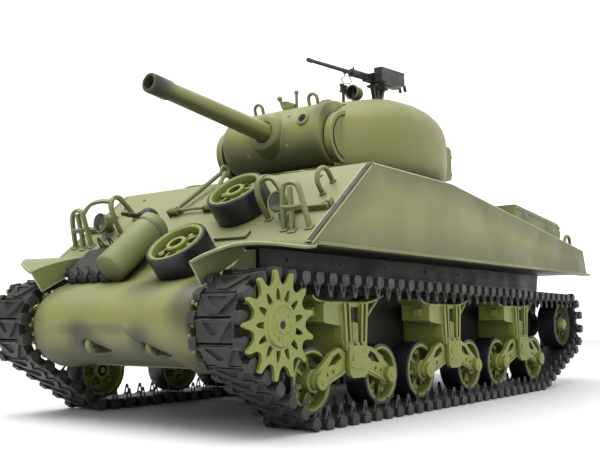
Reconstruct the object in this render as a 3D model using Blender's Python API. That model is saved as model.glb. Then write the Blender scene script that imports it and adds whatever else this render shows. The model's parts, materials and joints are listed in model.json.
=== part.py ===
"""Radio-controlled model tank, 1:16 scale, as an assembly of separate parts.

The tank faces -Y, its left side is +X and +Z is up. The origin is on the ground
under the middle of the model. Lengths below are millimetres; the helper functions
turn them into metres.
"""

import math

import bmesh
import bpy
from mathutils import Matrix, Vector

MM = 0.001
GAP = 0.3                      # air between parts that touch

# Driving dimensions
HALF_WIDTH = 82.0              # upper hull, either side of the centre line
HALF_LENGTH = 186.5            # front fender edge and rear rail end
SPONSON_Z = 75.0               # underside of the upper hull
ROOF_Z = 113.7                 # flat hull roof
GLACIS_FOOT_Y, GLACIS_TOP_Y = -145.1, -99.4
ROOF_BREAK_Y = -22.5           # where the roof starts to slope to the rear
REAR_TOP_Y, REAR_TOP_Z = 174.5, 91.1
REAR_FOOT_Y = 180.5
SHELL = 2.0                    # moulded wall thickness
TUB_HALF_WIDTH = 50.5          # lower hull
TUB_FLOOR_Z = 25.0
TUB_FRONT_Y, TUB_BACK_Y = -139.0, 160.0
NOSE_CENTRE = (-157.0, 48.6)   # (y, z) of the cast nose's axis
NOSE_RADIUS = 25.4
NOSE_REACH = 49.8              # half its length
# Upper front of the nose as (y, z), cut flatter than its round so that stowage can lie over it
NOSE_SLOPE = ((-182.0, 47.0), (-178.5, 52.0), (-174.0, 56.0), (-168.0, 58.0), (-164.0, 58.5), (-160.0, 60.5))
TOW_LUG_X = (-12.0, 26.0)

# Fittings on the front plate: x, and the distance up from its foot
GUARD_X, GUARD_ALONG = 62.0, 20.0
SPARE_WHEELS = {"spare_wheel_upper": (28.0, 29.5), "spare_wheel_lower": (22.5, -10.7)}
SPARE_LINKS = 4
SPARE_LINK_X, SPARE_LINK_ALONG = -23.4, -6.4
CANISTER_X, CANISTER_RADIUS = -11.5, 7.6
LOCK_X, LOCK_FOOT, LOCK_LIFT = -8.0, 33.0, 2.2
BOW_GUN = (-36.0, 30.0, 2.0)   # x, distance up the plate, height off it

LINKS_PER_TRACK = 83
SPROCKET_TEETH = 13
TRACK_THICKNESS = 4.8
TRACK_CENTRE_X = 65.9
TRACK_WIDTH = 26.3
HORN_HEIGHT = 5.2
HORN_BASE = 2.6                # width of a guide horn's foot, from the track's edge
NOMINAL_PITCH = 9.1            # lifts the pins on a bend, so that flat links clear the wheels

SPROCKET = (-161.9, 42.3)      # (y, z) of each axle
IDLER = (154.8, 40.2)
FIRST_WHEEL_Y = -130.4
WHEEL_Z = 19.3
WHEEL_SPACING = 53.5           # the two wheels of one bogie
BOGIE_PITCH = 90.0
BOGIES = 3
SPROCKET_PITCH_RADIUS = 19.1
SPROCKET_TIP_RADIUS = 20.8
WHEEL_RADIUS = 14.0
IDLER_RADIUS = 15.1
TYRE_GAP = 0.5                 # wheels to the flat links that bend around them
WHEEL_HALF_WIDTH = 5.8
WHEEL_FACE_X = 71.7            # outer face of a road wheel
WHEEL_STEPS = 18
AXLE_RADIUS = 1.5
BORE_RADIUS = 1.9

ARM_PIVOT_Y = 5.5              # arm pivot, from the bogie's middle
ARM_PIVOT_Z = 25.5
ARM_LOW_X, ARM_HIGH_X = 72.4, 74.9

TURRET_CENTRE_Y = -10.0
TURRET_RADIUS = 65.0
TURRET_BASE_Z = 117.2
RING_COLLAR_RADIUS = 57.0
TURRET_RING_RADIUS = 47.0
BUSTLE_REAR = 84.0             # turret centre to the back of the bustle
BUSTLE_HALF_WIDTH = 37.0

TRUNNION = (-57.0, 140.7)      # (y, z) of the gun's elevation axis
GUN_ELEVATION = math.radians(6.2)
SHIELD_RADIUS = 17.8
SHIELD_HALF_WIDTH = 34.5
SHIELD_EYES_X = (-15.0, 22.5)  # lifting eyes along its top
MUZZLE_DISTANCE = 101.0        # trunnion to muzzle

ROOF_TOP_Z = 167.0
ROOF_SLOPE_Z = 148.0           # above this the turret's roof drops towards the gun
HATCH = (-24.0, 2.0)           # (x, y) of the commander's hatch
HATCH_RADIUS = 12.5
HATCH_HINGE = (-38.5, 169.2)   # (x, z) of the lid's hinge, above the ring it clears
SPOTLIGHT = (21.5, -20.5)      # (x, y) of the searchlight's post
SPOTLIGHT_BASE_Z = 167.6
SPOTLIGHT_HEIGHT, SPOTLIGHT_RADIUS = 4.6, 4.5
PINTLE = (30.0, -11.0)         # (x, y) of the machine gun's post
MG_AXIS_Z = 181.0
MG_TILT = math.radians(4.0)    # nose down

GREEN = (0.29, 0.31, 0.10, 1.0)
BRIGHT_GREEN = (0.36, 0.40, 0.11, 1.0)
TRACK_BLACK = (0.03, 0.03, 0.03, 1.0)
GUN_METAL = (0.04, 0.035, 0.03, 1.0)
BATTERY_BLUE = (0.03, 0.09, 0.30, 1.0)
BOARD_GREEN = (0.02, 0.18, 0.06, 1.0)
CAST_METAL = (0.45, 0.45, 0.43, 1.0)

PARTS = bpy.data.collections.new("rc_tank")
CUTTERS = bpy.data.collections.new("cutters")


# ---------------------------------------------------------------- helpers

def material(name, colour, roughness=0.55, metallic=0.0):
    made = bpy.data.materials.get(name)
    if made is None:
        made = bpy.data.materials.new(name)
        made.use_nodes = True
        shader = made.node_tree.nodes["Principled BSDF"]
        shader.inputs["Base Color"].default_value = colour
        shader.inputs["Roughness"].default_value = roughness
        shader.inputs["Metallic"].default_value = metallic
    return made


def add_object(name, bm, finish, origin=(0, 0, 0), collection=PARTS):
    """Make an object of the mesh, which is in mm around the origin given in mm."""
    bmesh.ops.recalc_face_normals(bm, faces=bm.faces)
    bmesh.ops.scale(bm, verts=bm.verts, vec=(MM, MM, MM))
    mesh = bpy.data.meshes.new(name)
    bm.to_mesh(mesh)
    bm.free()
    mesh.shade_smooth()
    mesh.set_sharp_from_angle(angle=math.radians(35))
    made = bpy.data.objects.new(name, mesh)
    made.location = Vector(origin) * MM
    if finish is not None:
        mesh.materials.append(finish)
    collection.objects.link(made)
    return made


def boolean(target, operation, bm):
    """Join a mesh to the target, or cut it away. Both are in the target's frame."""
    number = len(target.modifiers)
    tool = add_object(f"{target.name}_tool{number}", bm, None, collection=CUTTERS)
    tool.location = target.location
    tool.hide_render = True
    tool.display_type = "WIRE"
    step = target.modifiers.new(f"{operation.lower()}_{number}", "BOOLEAN")
    step.operation = operation
    step.object = tool
    step.solver = "EXACT"


def block(low, high):
    bm = bmesh.new()
    bmesh.ops.create_cube(bm, size=1.0)
    size = [h - l for l, h in zip(low, high)]
    middle = [(h + l) / 2 for l, h in zip(low, high)]
    bmesh.ops.scale(bm, verts=bm.verts, vec=size)
    bmesh.ops.translate(bm, verts=bm.verts, vec=middle)
    return bm


def prism(outline, axis, low, high):
    """A flat outline, given in the plane across the axis, extruded along it."""
    index = "XYZ".index(axis)
    bm = bmesh.new()
    corners = []
    for point in outline:
        spot = list(point)
        spot.insert(index, low)
        corners.append(bm.verts.new(spot))
    grown = bmesh.ops.extrude_face_region(bm, geom=[bm.faces.new(corners)])["geom"]
    step = [0.0, 0.0, 0.0]
    step[index] = high - low
    bmesh.ops.translate(bm, verts=[v for v in grown if isinstance(v, bmesh.types.BMVert)], vec=step)
    return bm


def rod(radius, start, end, steps=12, end_radius=None):
    """A cylinder or cone between two points."""
    start, end = Vector(start), Vector(end)
    bm = bmesh.new()
    bmesh.ops.create_cone(
        bm, cap_ends=True, segments=steps, radius1=radius,
        radius2=radius if end_radius is None else end_radius, depth=(end - start).length,
    )
    turn = (end - start).to_track_quat("Z", "Y").to_matrix().to_4x4()
    bmesh.ops.transform(bm, verts=bm.verts, matrix=Matrix.Translation((start + end) / 2) @ turn)
    return bm


def lathe(profile, steps, direction=(1, 0, 0), centre=(0, 0, 0)):
    """Turn a profile of (distance along the axis, radius) about an axis.

    A profile that starts and ends on the axis is left open, any other is closed.
    """
    bm = bmesh.new()
    verts = [bm.verts.new((along, 0, radius)) for along, radius in profile]
    edges = [bm.edges.new(pair) for pair in zip(verts, verts[1:])]
    if profile[0][1] > 0:
        edges.append(bm.edges.new((verts[-1], verts[0])))
    bmesh.ops.spin(
        bm, geom=verts + edges, cent=(0, 0, 0), axis=(1, 0, 0), dvec=(0, 0, 0),
        angle=2 * math.pi, steps=steps, use_merge=True, use_duplicate=False,
    )
    bmesh.ops.remove_doubles(bm, verts=bm.verts, dist=0.0005)
    turn = Vector(direction).to_track_quat("X", "Z").to_matrix().to_4x4()
    bmesh.ops.transform(bm, verts=bm.verts, matrix=Matrix.Translation(centre) @ turn)
    return bm


def join_all(name, pieces, finish, origin=(0, 0, 0)):
    """One object made of overlapping pieces."""
    whole = add_object(name, pieces[0], finish, origin=origin)
    for piece in pieces[1:]:
        boolean(whole, "UNION", piece)
    return whole


def moved(bm, offset=(0, 0, 0), turn=None):
    matrix = Matrix.Translation(offset)
    if turn is not None:
        matrix = matrix @ turn.to_4x4()
    bmesh.ops.transform(bm, verts=bm.verts, matrix=matrix)
    return bm


def mirrored(bm):
    """The same mesh on the other side of the centre line."""
    bmesh.ops.scale(bm, verts=bm.verts, vec=(-1, 1, 1))
    bmesh.ops.reverse_faces(bm, faces=bm.faces)
    return bm


def arc(centre, radius, start, end, count):
    """Points on a circle between two angles in degrees."""
    angles = [math.radians(start + (end - start) * i / (count - 1)) for i in range(count)]
    return [(centre[0] + radius * math.cos(a), centre[1] + radius * math.sin(a)) for a in angles]


def inset(outline, distance):
    """A convex outline with each side moved inwards."""
    count = len(outline)
    area = sum(a[0] * b[1] - b[0] * a[1] for a, b in zip(outline, outline[1:] + outline[:1]))
    inward = 1 if area > 0 else -1
    lines = []
    for here, there in zip(outline, outline[1:] + outline[:1]):
        run = Vector((there[0] - here[0], there[1] - here[1])).normalized()
        shift = Vector((-run.y, run.x)) * distance * inward
        lines.append((Vector(here) + shift, run))
    points = []
    for i in range(count):
        (p, u), (q, v) = lines[i - 1], lines[i]
        cross = u.x * v.y - u.y * v.x
        reach = ((q - p).x * v.y - (q - p).y * v.x) / cross
        points.append(tuple(p + u * reach))
    return points


def on_glacis(x, along, lift):
    """A point on the sloping front plate: distance up from its foot, and height off it."""
    slope = glacis_angle()
    y = GLACIS_FOOT_Y + along * math.cos(slope) - lift * math.sin(slope)
    z = SPONSON_Z + along * math.sin(slope) + lift * math.cos(slope)
    return (x, y, z)


def glacis_angle():
    return math.atan2(ROOF_Z - SPONSON_Z, GLACIS_TOP_Y - GLACIS_FOOT_Y)


def deck_z(y):
    """Height of the sloping engine deck."""
    share = (y - ROOF_BREAK_Y) / (REAR_TOP_Y - ROOF_BREAK_Y)
    return ROOF_Z + share * (REAR_TOP_Z - ROOF_Z)


# ---------------------------------------------------------------- hull

def hull_outline():
    return [
        (GLACIS_FOOT_Y, SPONSON_Z), (REAR_FOOT_Y, SPONSON_Z), (REAR_TOP_Y, REAR_TOP_Z),
        (ROOF_BREAK_Y, ROOF_Z), (GLACIS_TOP_Y, ROOF_Z),
    ]


def build_lower_hull(paint):
    outline = [
        (TUB_FRONT_Y, TUB_FLOOR_Z), (TUB_BACK_Y - 14, TUB_FLOOR_Z), (TUB_BACK_Y, TUB_FLOOR_Z + 16),
        (TUB_BACK_Y + 8, SPONSON_Z - GAP), (TUB_FRONT_Y, SPONSON_Z - GAP),
    ]
    tub = add_object("lower_hull", prism(outline, "X", -TUB_HALF_WIDTH, TUB_HALF_WIDTH), paint)
    room = inset(outline, SHELL)
    room = [(y, z if z < SPONSON_Z - 6 else SPONSON_Z + 5) for y, z in room]
    boolean(tub, "DIFFERENCE", prism(room, "X", SHELL - TUB_HALF_WIDTH, TUB_HALF_WIDTH - SHELL))
    for side in (-1, 1):
        boolean(tub, "UNION", rod(3.6, (side * (TUB_HALF_WIDTH - 1), *IDLER), (side * 59.2, *IDLER), 14))
        boolean(tub, "UNION", rod(AXLE_RADIUS, (side * 59.0, *IDLER), (side * 71.0, *IDLER), 10))


def build_upper_hull(paint):
    outline = hull_outline()
    hull = add_object("upper_hull", prism(outline, "X", -HALF_WIDTH, HALF_WIDTH), paint)
    ring_top = TURRET_BASE_Z - 1.2
    collar = rod(RING_COLLAR_RADIUS, (0, TURRET_CENTRE_Y, 98), (0, TURRET_CENTRE_Y, ring_top), 32)
    boolean(hull, "UNION", collar)
    rail_low, rail_high = SPONSON_Z - 0.9, SPONSON_Z + 0.9
    for side in (-1, 1):
        edges = sorted((side * (HALF_WIDTH - 0.6), side * (HALF_WIDTH - 6)))
        rail = block((edges[0], GLACIS_FOOT_Y + 8, rail_low), (edges[1], HALF_LENGTH, rail_high))
        boolean(hull, "UNION", rail)
    add_front_fenders(hull)
    add_lifting_rings(hull)
    add_tail_lights(hull)
    wall = HALF_WIDTH - SHELL
    boolean(hull, "DIFFERENCE", prism(inset(outline, SHELL), "X", -wall, wall))
    mouth_half = TUB_HALF_WIDTH - SHELL
    mouth = block((-mouth_half, -136, SPONSON_Z - 5), (mouth_half, 160, SPONSON_Z + 5))
    boolean(hull, "DIFFERENCE", mouth)
    ring = rod(TURRET_RING_RADIUS, (0, TURRET_CENTRE_Y, 90), (0, TURRET_CENTRE_Y, 125), 24)
    boolean(hull, "DIFFERENCE", ring)


def deck_plate(low_y, high_y, low, high):
    """A side outline lying on the engine deck, between two heights above it."""
    return [
        (low_y, deck_z(low_y) + low), (high_y, deck_z(high_y) + low),
        (high_y, deck_z(high_y) + high), (low_y, deck_z(low_y) + high),
    ]


def build_engine_deck(paint):
    """The removable deck plate with its raised grille doors, lying on the sloping deck."""
    pieces = [prism(deck_plate(66.0, 170.0, GAP, 0.9), "X", -46.0, 46.0)]
    for low_y, high_y in ((68.0, 116.0), (120.0, 168.0)):
        for low_x, high_x in ((-44.5, -1.0), (1.0, 44.5)):
            pieces.append(prism(deck_plate(low_y, high_y, 0.6, 1.9), "X", low_x, high_x))
    join_all("engine_deck", pieces, paint)


def build_final_drive_cover(paint):
    """The cast nose: a barrel across the front, flat behind, with two tow lug pockets."""
    y, z = NOSE_CENTRE
    reach = NOSE_REACH
    profile = [
        (-reach, 0), (-reach, 19.5), (-reach + 3, 23.4), (-reach + 9, NOSE_RADIUS),
        (reach - 9, NOSE_RADIUS), (reach - 3, 23.4), (reach, 19.5), (reach, 0),
    ]
    cover = add_object("final_drive_cover", lathe(profile, 28, centre=(0, y, z)), paint)
    back = [(y, 24.6), (-139.6, 24.6), (-139.6, 74.2), (-146.4, 74.2), (y, 73.0)]
    boolean(cover, "UNION", prism(back, "X", -reach, reach))
    boolean(cover, "DIFFERENCE", block((-60, TUB_FRONT_Y - 0.4, 0), (60, -100, 100)))
    slot = [(-190.0, 27.0), (-177.0, 27.0), (-173.5, 34.0), (-176.0, 42.0), (-190.0, 42.0)]
    for x in TOW_LUG_X:
        boolean(cover, "DIFFERENCE", prism(slot, "X", x - 4.5, x + 4.5))
    shaft_room = rod(4.2, (-60, *SPROCKET), (60, *SPROCKET), 16)
    boolean(cover, "DIFFERENCE", shaft_room)
    plate_top = (GLACIS_FOOT_Y + 10, SPONSON_Z - GAP + 10 * math.tan(glacis_angle()))
    seat = [(-190.0, 44.0), *NOSE_SLOPE, plate_top, (-190.0, 105.0)]
    boolean(cover, "DIFFERENCE", prism(seat, "X", -60, 60))


def add_front_fenders(hull):
    """A drooping plate over each track front, with a triangular flap on its inner side."""
    outer, inner = HALF_WIDTH, 51.4
    top = [
        (-HALF_LENGTH, 67.2), (-177.0, 70.6), (-165.0, 73.6), (-146.0, 75.4), (-136.0, 75.8),
        (-136.0, 74.5), (-146.0, 74.2), (-165.0, 72.3), (-177.0, 69.3), (-186.0, 66.1),
    ]
    flap = [(-184.5, 67.0), (-178.5, 58.0), (-149.5, 71.2), (-149.5, 74.4), (-165.0, 72.8), (-177.0, 69.9)]
    for flip in (False, True):
        for piece in (prism(top, "X", inner, outer), prism(flap, "X", inner - 0.6, inner + 0.8)):
            boolean(hull, "UNION", mirrored(piece) if flip else piece)


# ---------------------------------------------------------------- hull fittings

def hoop(half_width, height, wire, count=7, sides=5):
    """An arch of round wire standing on Z = 0 in the XZ plane, with flat feet."""
    radius = half_width
    bm = bmesh.new()
    straight = height - radius
    points = [(half_width, 0.0)] + arc((0, straight), radius, 0, 180, count) + [(-half_width, 0.0)]
    rings = []
    for i, (x, z) in enumerate(points):
        before = Vector(points[max(i - 1, 0)])
        after = Vector(points[min(i + 1, len(points) - 1)])
        run = (after - before).normalized()
        side = Vector((-run.y, run.x))
        ring = []
        for k in range(sides):
            angle = 2 * math.pi * k / sides
            offset = side * math.cos(angle) * wire
            ring.append(bm.verts.new((x + offset.x, math.sin(angle) * wire, z + offset.y)))
        rings.append(ring)
    for low, high in zip(rings, rings[1:]):
        for k in range(sides):
            n = (k + 1) % sides
            bm.faces.new((low[k], low[n], high[n], high[k]))
    bm.faces.new(rings[0][::-1])
    bm.faces.new(rings[-1])
    return bm


def glacis_frame(x, along, lift=GAP):
    """The transform that stands a piece made on Z = 0 on the front plate."""
    tilt = Matrix.Rotation(glacis_angle(), 4, "X")
    return Matrix.Translation(on_glacis(x, along, lift)) @ tilt


def place_on_glacis(bm, x, along, spin=0.0, lift=GAP):
    matrix = glacis_frame(x, along, lift) @ Matrix.Rotation(math.radians(spin), 4, "Z")
    bmesh.ops.transform(bm, verts=bm.verts, matrix=matrix)
    return bm


def build_lamp_guard(name, side, paint):
    """A headlight on its post, in a cage of two crossing hoops with two more beside it."""
    x = side * GUARD_X
    shape = [
        (-0.2, 0), (-0.2, 1.2), (3.0, 1.2), (3.6, 3.6), (6.4, 4.2), (9.0, 3.8), (14.6, 1.0), (14.6, 0),
    ]
    pieces = [place_on_glacis(lathe(shape, 12, direction=(0, 0, 1)), x, GUARD_ALONG)]
    pieces.append(place_on_glacis(block((-9.4, -9.4, 0), (9.4, 9.4, 1.0)), x, GUARD_ALONG))
    for height, turn, offset in ((15.4, 0, 0), (14.6, 90, 0), (13.0, 0, -8.0), (13.0, 0, 8.0)):
        bar = hoop(8.6, height, 0.8)
        pieces.append(place_on_glacis(bar, x, GUARD_ALONG + offset, spin=turn, lift=0.6))
    join_all(name, pieces, paint)


def add_lifting_rings(hull):
    """Lifting eyes on the front plate and on the rear corners of the deck."""
    for side in (-1, 1):
        ring = place_on_glacis(hoop(5.2, 11.4, 1.2), side * 68.4, 41.0, spin=90, lift=-0.8)
        boolean(hull, "UNION", ring)
        rear = moved(hoop(5.2, 12.4, 1.2), turn=Matrix.Rotation(math.radians(90), 4, "Z"))
        boolean(hull, "UNION", moved(rear, (side * 73.0, 168.0, deck_z(173.0) - 0.8)))


def add_tail_lights(hull):
    for side in (-1, 1):
        shape = [(0, 0), (0, 2.4), (4.0, 2.4), (4.4, 0)]
        tail = lathe(shape, 12, direction=(0, 1, 0), centre=(side * 68.0, REAR_FOOT_Y - 5.0, SPONSON_Z + 9))
        boolean(hull, "UNION", tail)


def build_glacis_canister(paint):
    """A closed cylindrical canister lying up the slope of the front plate."""
    radius, low, high = CANISTER_RADIUS, -19.5, 12.0
    profile = [
        (low, 0), (low, radius - 0.5), (low + 0.5, radius),
        (high - 0.5, radius), (high, radius - 0.5), (high, 0),
    ]
    slope = glacis_angle()
    centre = on_glacis(CANISTER_X, 0, radius + 0.6)
    direction = (0, math.cos(slope), math.sin(slope))
    add_object("glacis_canister", lathe(profile, 24, direction=direction, centre=centre), paint)


def wheel_profile():
    """Half section of a rubber-tyred road wheel, dished on its outer side."""
    half = WHEEL_HALF_WIDTH
    rim = WHEEL_RADIUS - 2.6
    return [
        (-half, BORE_RADIUS), (-half, rim), (-half + 0.3, WHEEL_RADIUS), (half - 0.3, WHEEL_RADIUS),
        (half, rim), (half, rim - 1.4), (half - 3.2, rim - 1.8), (half - 3.2, BORE_RADIUS),
    ]


def build_spare_wheels(paint):
    """Two spare road wheels stowed face up on the front plate."""
    for name, (x, along) in SPARE_WHEELS.items():
        wheel = lathe(wheel_profile(), WHEEL_STEPS, direction=(0, 0, 1))
        add_object(name, place_on_glacis(wheel, x, along, lift=WHEEL_HALF_WIDTH + 0.6), paint)


def build_spare_track_links(rubber):
    """A strip of spare links, closed up, lying across the foot of the front plate."""
    pieces = []
    for i in range(SPARE_LINKS):
        link = moved(track_link(), turn=Matrix.Rotation(math.pi / 2, 4, "Z"))
        x = SPARE_LINK_X - i * (track_pitch() - 1.6)
        pieces.append(place_on_glacis(link, x, SPARE_LINK_ALONG, lift=TRACK_THICKNESS / 2 + 0.5))
    join_all("spare_track_links", pieces, rubber)


def build_travel_lock(paint):
    """The folded gun lock: two legs that meet at a clamp, hinged at their feet."""
    hinge = on_glacis(LOCK_X, LOCK_FOOT, LOCK_LIFT)
    slope = glacis_angle()
    up = Vector((0, math.cos(slope), math.sin(slope)))
    out = Vector((0, -math.sin(slope), math.cos(slope)))
    apex = up * 30 + out * 1.5
    legs = []
    for foot_x in (-12.0, 12.0):
        legs.append(rod(1.3, (foot_x, 0, 0), Vector((foot_x * 0.15, 0, 0)) + apex, steps=8))
    lock = join_all("travel_lock", legs, paint, origin=hinge)
    boolean(lock, "UNION", rod(1.6, (-14.0, 0, 0), (14.0, 0, 0), steps=8))
    head = apex + up * 2.0
    half_clamp = Vector((2.4, 0, 0))
    boolean(lock, "UNION", rod(3.4, head - half_clamp, head + half_clamp, steps=12))


def build_stowage_box(paint):
    """The tool box on the rear left of the engine deck."""
    low_y, high_y = 96.0, 166.0
    outline = [
        (low_y, deck_z(low_y) + GAP), (high_y + 6.0, deck_z(high_y + 6.0) + GAP),
        (high_y + 10.0, 111.0), (high_y + 8.0, 114.5), (high_y, 117.3), (low_y, 117.3),
    ]
    box = add_object("stowage_box", prism(outline, "X", 47.0, 66.0), paint)
    room = [(y, z - 5 if z < 105 else z) for y, z in inset(outline, 1.6)]
    boolean(box, "DIFFERENCE", prism(room, "X", 48.6, 64.4))
    boolean(box, "UNION", block((49.0, low_y + 3, 116.5), (64.0, high_y - 3, 118.3)))


# ---------------------------------------------------------------- electrics

def build_electrics(battery, board, cast):
    floor = TUB_FLOOR_Z + SHELL + GAP
    cells = []
    for i in range(4):
        x = -26 + 17.4 * i
        cells.append(rod(8.9, (x, 20, floor + 9), (x, 88, floor + 9), 12))
    join_all("battery_pack", cells, battery)
    pieces = [block((-38, -60, floor), (38, 0, floor + 2))]
    for x, y, width, length, height in ((-20, -40, 14, 14, 5), (12, -44, 20, 10, 7), (8, -18, 26, 16, 9)):
        pieces.append(block((x, y, floor + 1.5), (x + width, y + length, floor + 2 + height)))
    join_all("control_board", pieces, board)
    gearbox = [block((-4.5, -128, floor), (4.5, -100, floor + 12))]
    for side in (-1, 1):
        low, high = sorted((side * 4, side * 30))
        gearbox.append(block((low, -132, floor), (high, -96, floor + 26)))
        gearbox.append(rod(9.0, (side * 14, -97, floor + 13), (side * 14, -66, floor + 13), 16))
    join_all("drive_gearbox", gearbox, cast)


# ---------------------------------------------------------------- tracks

def track_circles():
    half = TRACK_THICKNESS / 2
    on_wheel = WHEEL_RADIUS + TYRE_GAP + half
    last_wheel_y = FIRST_WHEEL_Y + (BOGIES - 1) * BOGIE_PITCH + WHEEL_SPACING
    return [
        (*SPROCKET, SPROCKET_PITCH_RADIUS),
        (FIRST_WHEEL_Y, WHEEL_Z, on_wheel),
        (last_wheel_y, WHEEL_Z, on_wheel),
        (*IDLER, IDLER_RADIUS + TYRE_GAP + half),
    ]


def track_path():
    """The pin line around the wheels, as arcs and straight runs, from above the sprocket.

    Each piece is (length, function from distance to (y, z, outward angle)).
    """
    circles = track_circles()
    normals = []
    for (y1, z1, r1), (y2, z2, r2) in zip(circles, circles[1:] + circles[:1]):
        span = math.hypot(y2 - y1, z2 - z1)
        heading = math.atan2(z2 - z1, y2 - y1)
        normals.append(heading - math.pi / 2 + math.asin((r1 - r2) / span))
    pieces = []
    for i, (y, z, r) in enumerate(circles):
        start, end = normals[i - 1], normals[i]
        sweep = (end - start) % (2 * math.pi)

        def bend(s, y=y, z=z, r=r, start=start):
            angle = start + s / r
            pin = r / math.cos(NOMINAL_PITCH / (2 * r))
            return (y + pin * math.cos(angle), z + pin * math.sin(angle), angle)

        y2, z2, r2 = circles[(i + 1) % len(circles)]
        leave = (y + r * math.cos(end), z + r * math.sin(end))
        meet = (y2 + r2 * math.cos(end), z2 + r2 * math.sin(end))
        run = math.dist(leave, meet)

        def straight(s, leave=leave, meet=meet, run=run, end=end):
            share = s / run
            return (leave[0] + share * (meet[0] - leave[0]), leave[1] + share * (meet[1] - leave[1]), end)

        pieces += [(r * sweep, bend), (run, straight)]
    return pieces


def track_length():
    return sum(length for length, _ in track_path())


def track_pitch():
    return track_length() / LINKS_PER_TRACK


def track_point(distance):
    for length, where in track_path():
        if distance <= length:
            return where(distance)
        distance -= length
    return track_path()[0][1](0.0)


def track_link():
    """One shoe with a guide horn at each end. X is across the track, Z points into the loop."""
    bm = bmesh.new()
    bmesh.ops.create_cube(bm, size=1.0)
    length = track_pitch() - 0.5
    bmesh.ops.scale(bm, verts=bm.verts, vec=(TRACK_WIDTH, length, TRACK_THICKNESS))
    for v in bm.verts:
        if v.co.z > 0:
            v.co.y *= 0.80
    horn_base = TRACK_WIDTH / 2 - HORN_BASE
    for side in (-1, 1):
        top = [f for f in bm.faces if all(v.co.z > 0 for v in f.verts)]
        edges = {e for f in top for e in f.edges}
        verts = {v for f in top for v in f.verts}
        bmesh.ops.bisect_plane(
            bm, geom=list(verts) + list(edges) + top, dist=0.001,
            plane_co=(side * horn_base, 0, 0), plane_no=(1, 0, 0),
        )
    ends = [
        f for f in bm.faces
        if all(v.co.z > 0 for v in f.verts) and abs(f.calc_center_median().x) > horn_base
        and abs(f.normal.z) > 0.9
    ]
    bmesh.ops.poke(bm, faces=ends, offset=HORN_HEIGHT)
    return bm


def build_track(name, side, rubber):
    """The whole track as one belt: a cross section at every pin, and horns poked out of it."""
    half_width, half_thick = TRACK_WIDTH / 2, TRACK_THICKNESS / 2
    horn_base = half_width - HORN_BASE
    section = [
        (-half_width, half_thick), (half_width, half_thick), (half_width, -half_thick),
        (horn_base, -half_thick), (-horn_base, -half_thick), (-half_width, -half_thick),
    ]
    horn_sides = (2, 4)
    bm = bmesh.new()
    rings = []
    for i in range(LINKS_PER_TRACK):
        y, z, outward = track_point(i * track_pitch())
        ring = []
        for x, out in section:
            spot = (side * TRACK_CENTRE_X + x, y + out * math.cos(outward), z + out * math.sin(outward))
            ring.append(bm.verts.new(spot))
        rings.append(ring)
    horn_faces = []
    for i, low in enumerate(rings):
        high = rings[(i + 1) % LINKS_PER_TRACK]
        for k in range(len(section)):
            n = (k + 1) % len(section)
            face = bm.faces.new((low[k], low[n], high[n], high[k]))
            if k in horn_sides:
                horn_faces.append(face)
    bmesh.ops.recalc_face_normals(bm, faces=bm.faces)
    bmesh.ops.poke(bm, faces=horn_faces, offset=HORN_HEIGHT)
    add_object(name, bm, rubber)


# ---------------------------------------------------------------- running gear

def tooth_outline():
    points = []
    root, tip = SPROCKET_PITCH_RADIUS - 3.4, SPROCKET_TIP_RADIUS
    for i in range(SPROCKET_TEETH):
        middle = 360 * i / SPROCKET_TEETH
        for turn, radius in ((-9.5, root), (-2.4, tip), (2.4, tip), (9.5, root)):
            angle = math.radians(middle + turn + 180.0)
            points.append((radius * math.cos(angle), radius * math.sin(angle)))
    return points


def build_sprocket(name, side, paint):
    """Outer and inner toothed rings on a drum, with the final drive shaft."""
    def along(low, high):
        return sorted((side * low, side * high))

    origin = (0, SPROCKET[0], SPROCKET[1])
    wheel = add_object(name, prism(tooth_outline(), "X", *along(79.5, 80.8)), paint, origin=origin)
    boolean(wheel, "UNION", prism(tooth_outline(), "X", *along(51.0, 52.3)))
    low, high = along(51.6, 80.2)
    boolean(wheel, "UNION", rod(10.0, (low, 0, 0), (high, 0, 0), 20))
    low, high = along(79.9, 81.9)
    boolean(wheel, "UNION", rod(9.0, (low, 0, 0), (high, 0, 0), 20))
    low, high = along(38.0, 51.4)
    boolean(wheel, "UNION", rod(3.0, (low, 0, 0), (high, 0, 0), 10))


def build_idler(name, side, paint):
    profile = [
        (-6.2, BORE_RADIUS), (-6.2, IDLER_RADIUS), (6.2, IDLER_RADIUS), (6.2, IDLER_RADIUS - 1.4),
        (3.4, IDLER_RADIUS - 1.8), (3.4, 6.0), (5.4, 5.0), (5.4, BORE_RADIUS),
    ]
    bm = lathe(profile, 24)
    if side < 0:
        bm = mirrored(bm)
    add_object(name, bm, paint, origin=(side * TRACK_CENTRE_X, IDLER[0], IDLER[1]))


def bogie_y(index):
    return FIRST_WHEEL_Y + WHEEL_SPACING / 2 + index * BOGIE_PITCH


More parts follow.
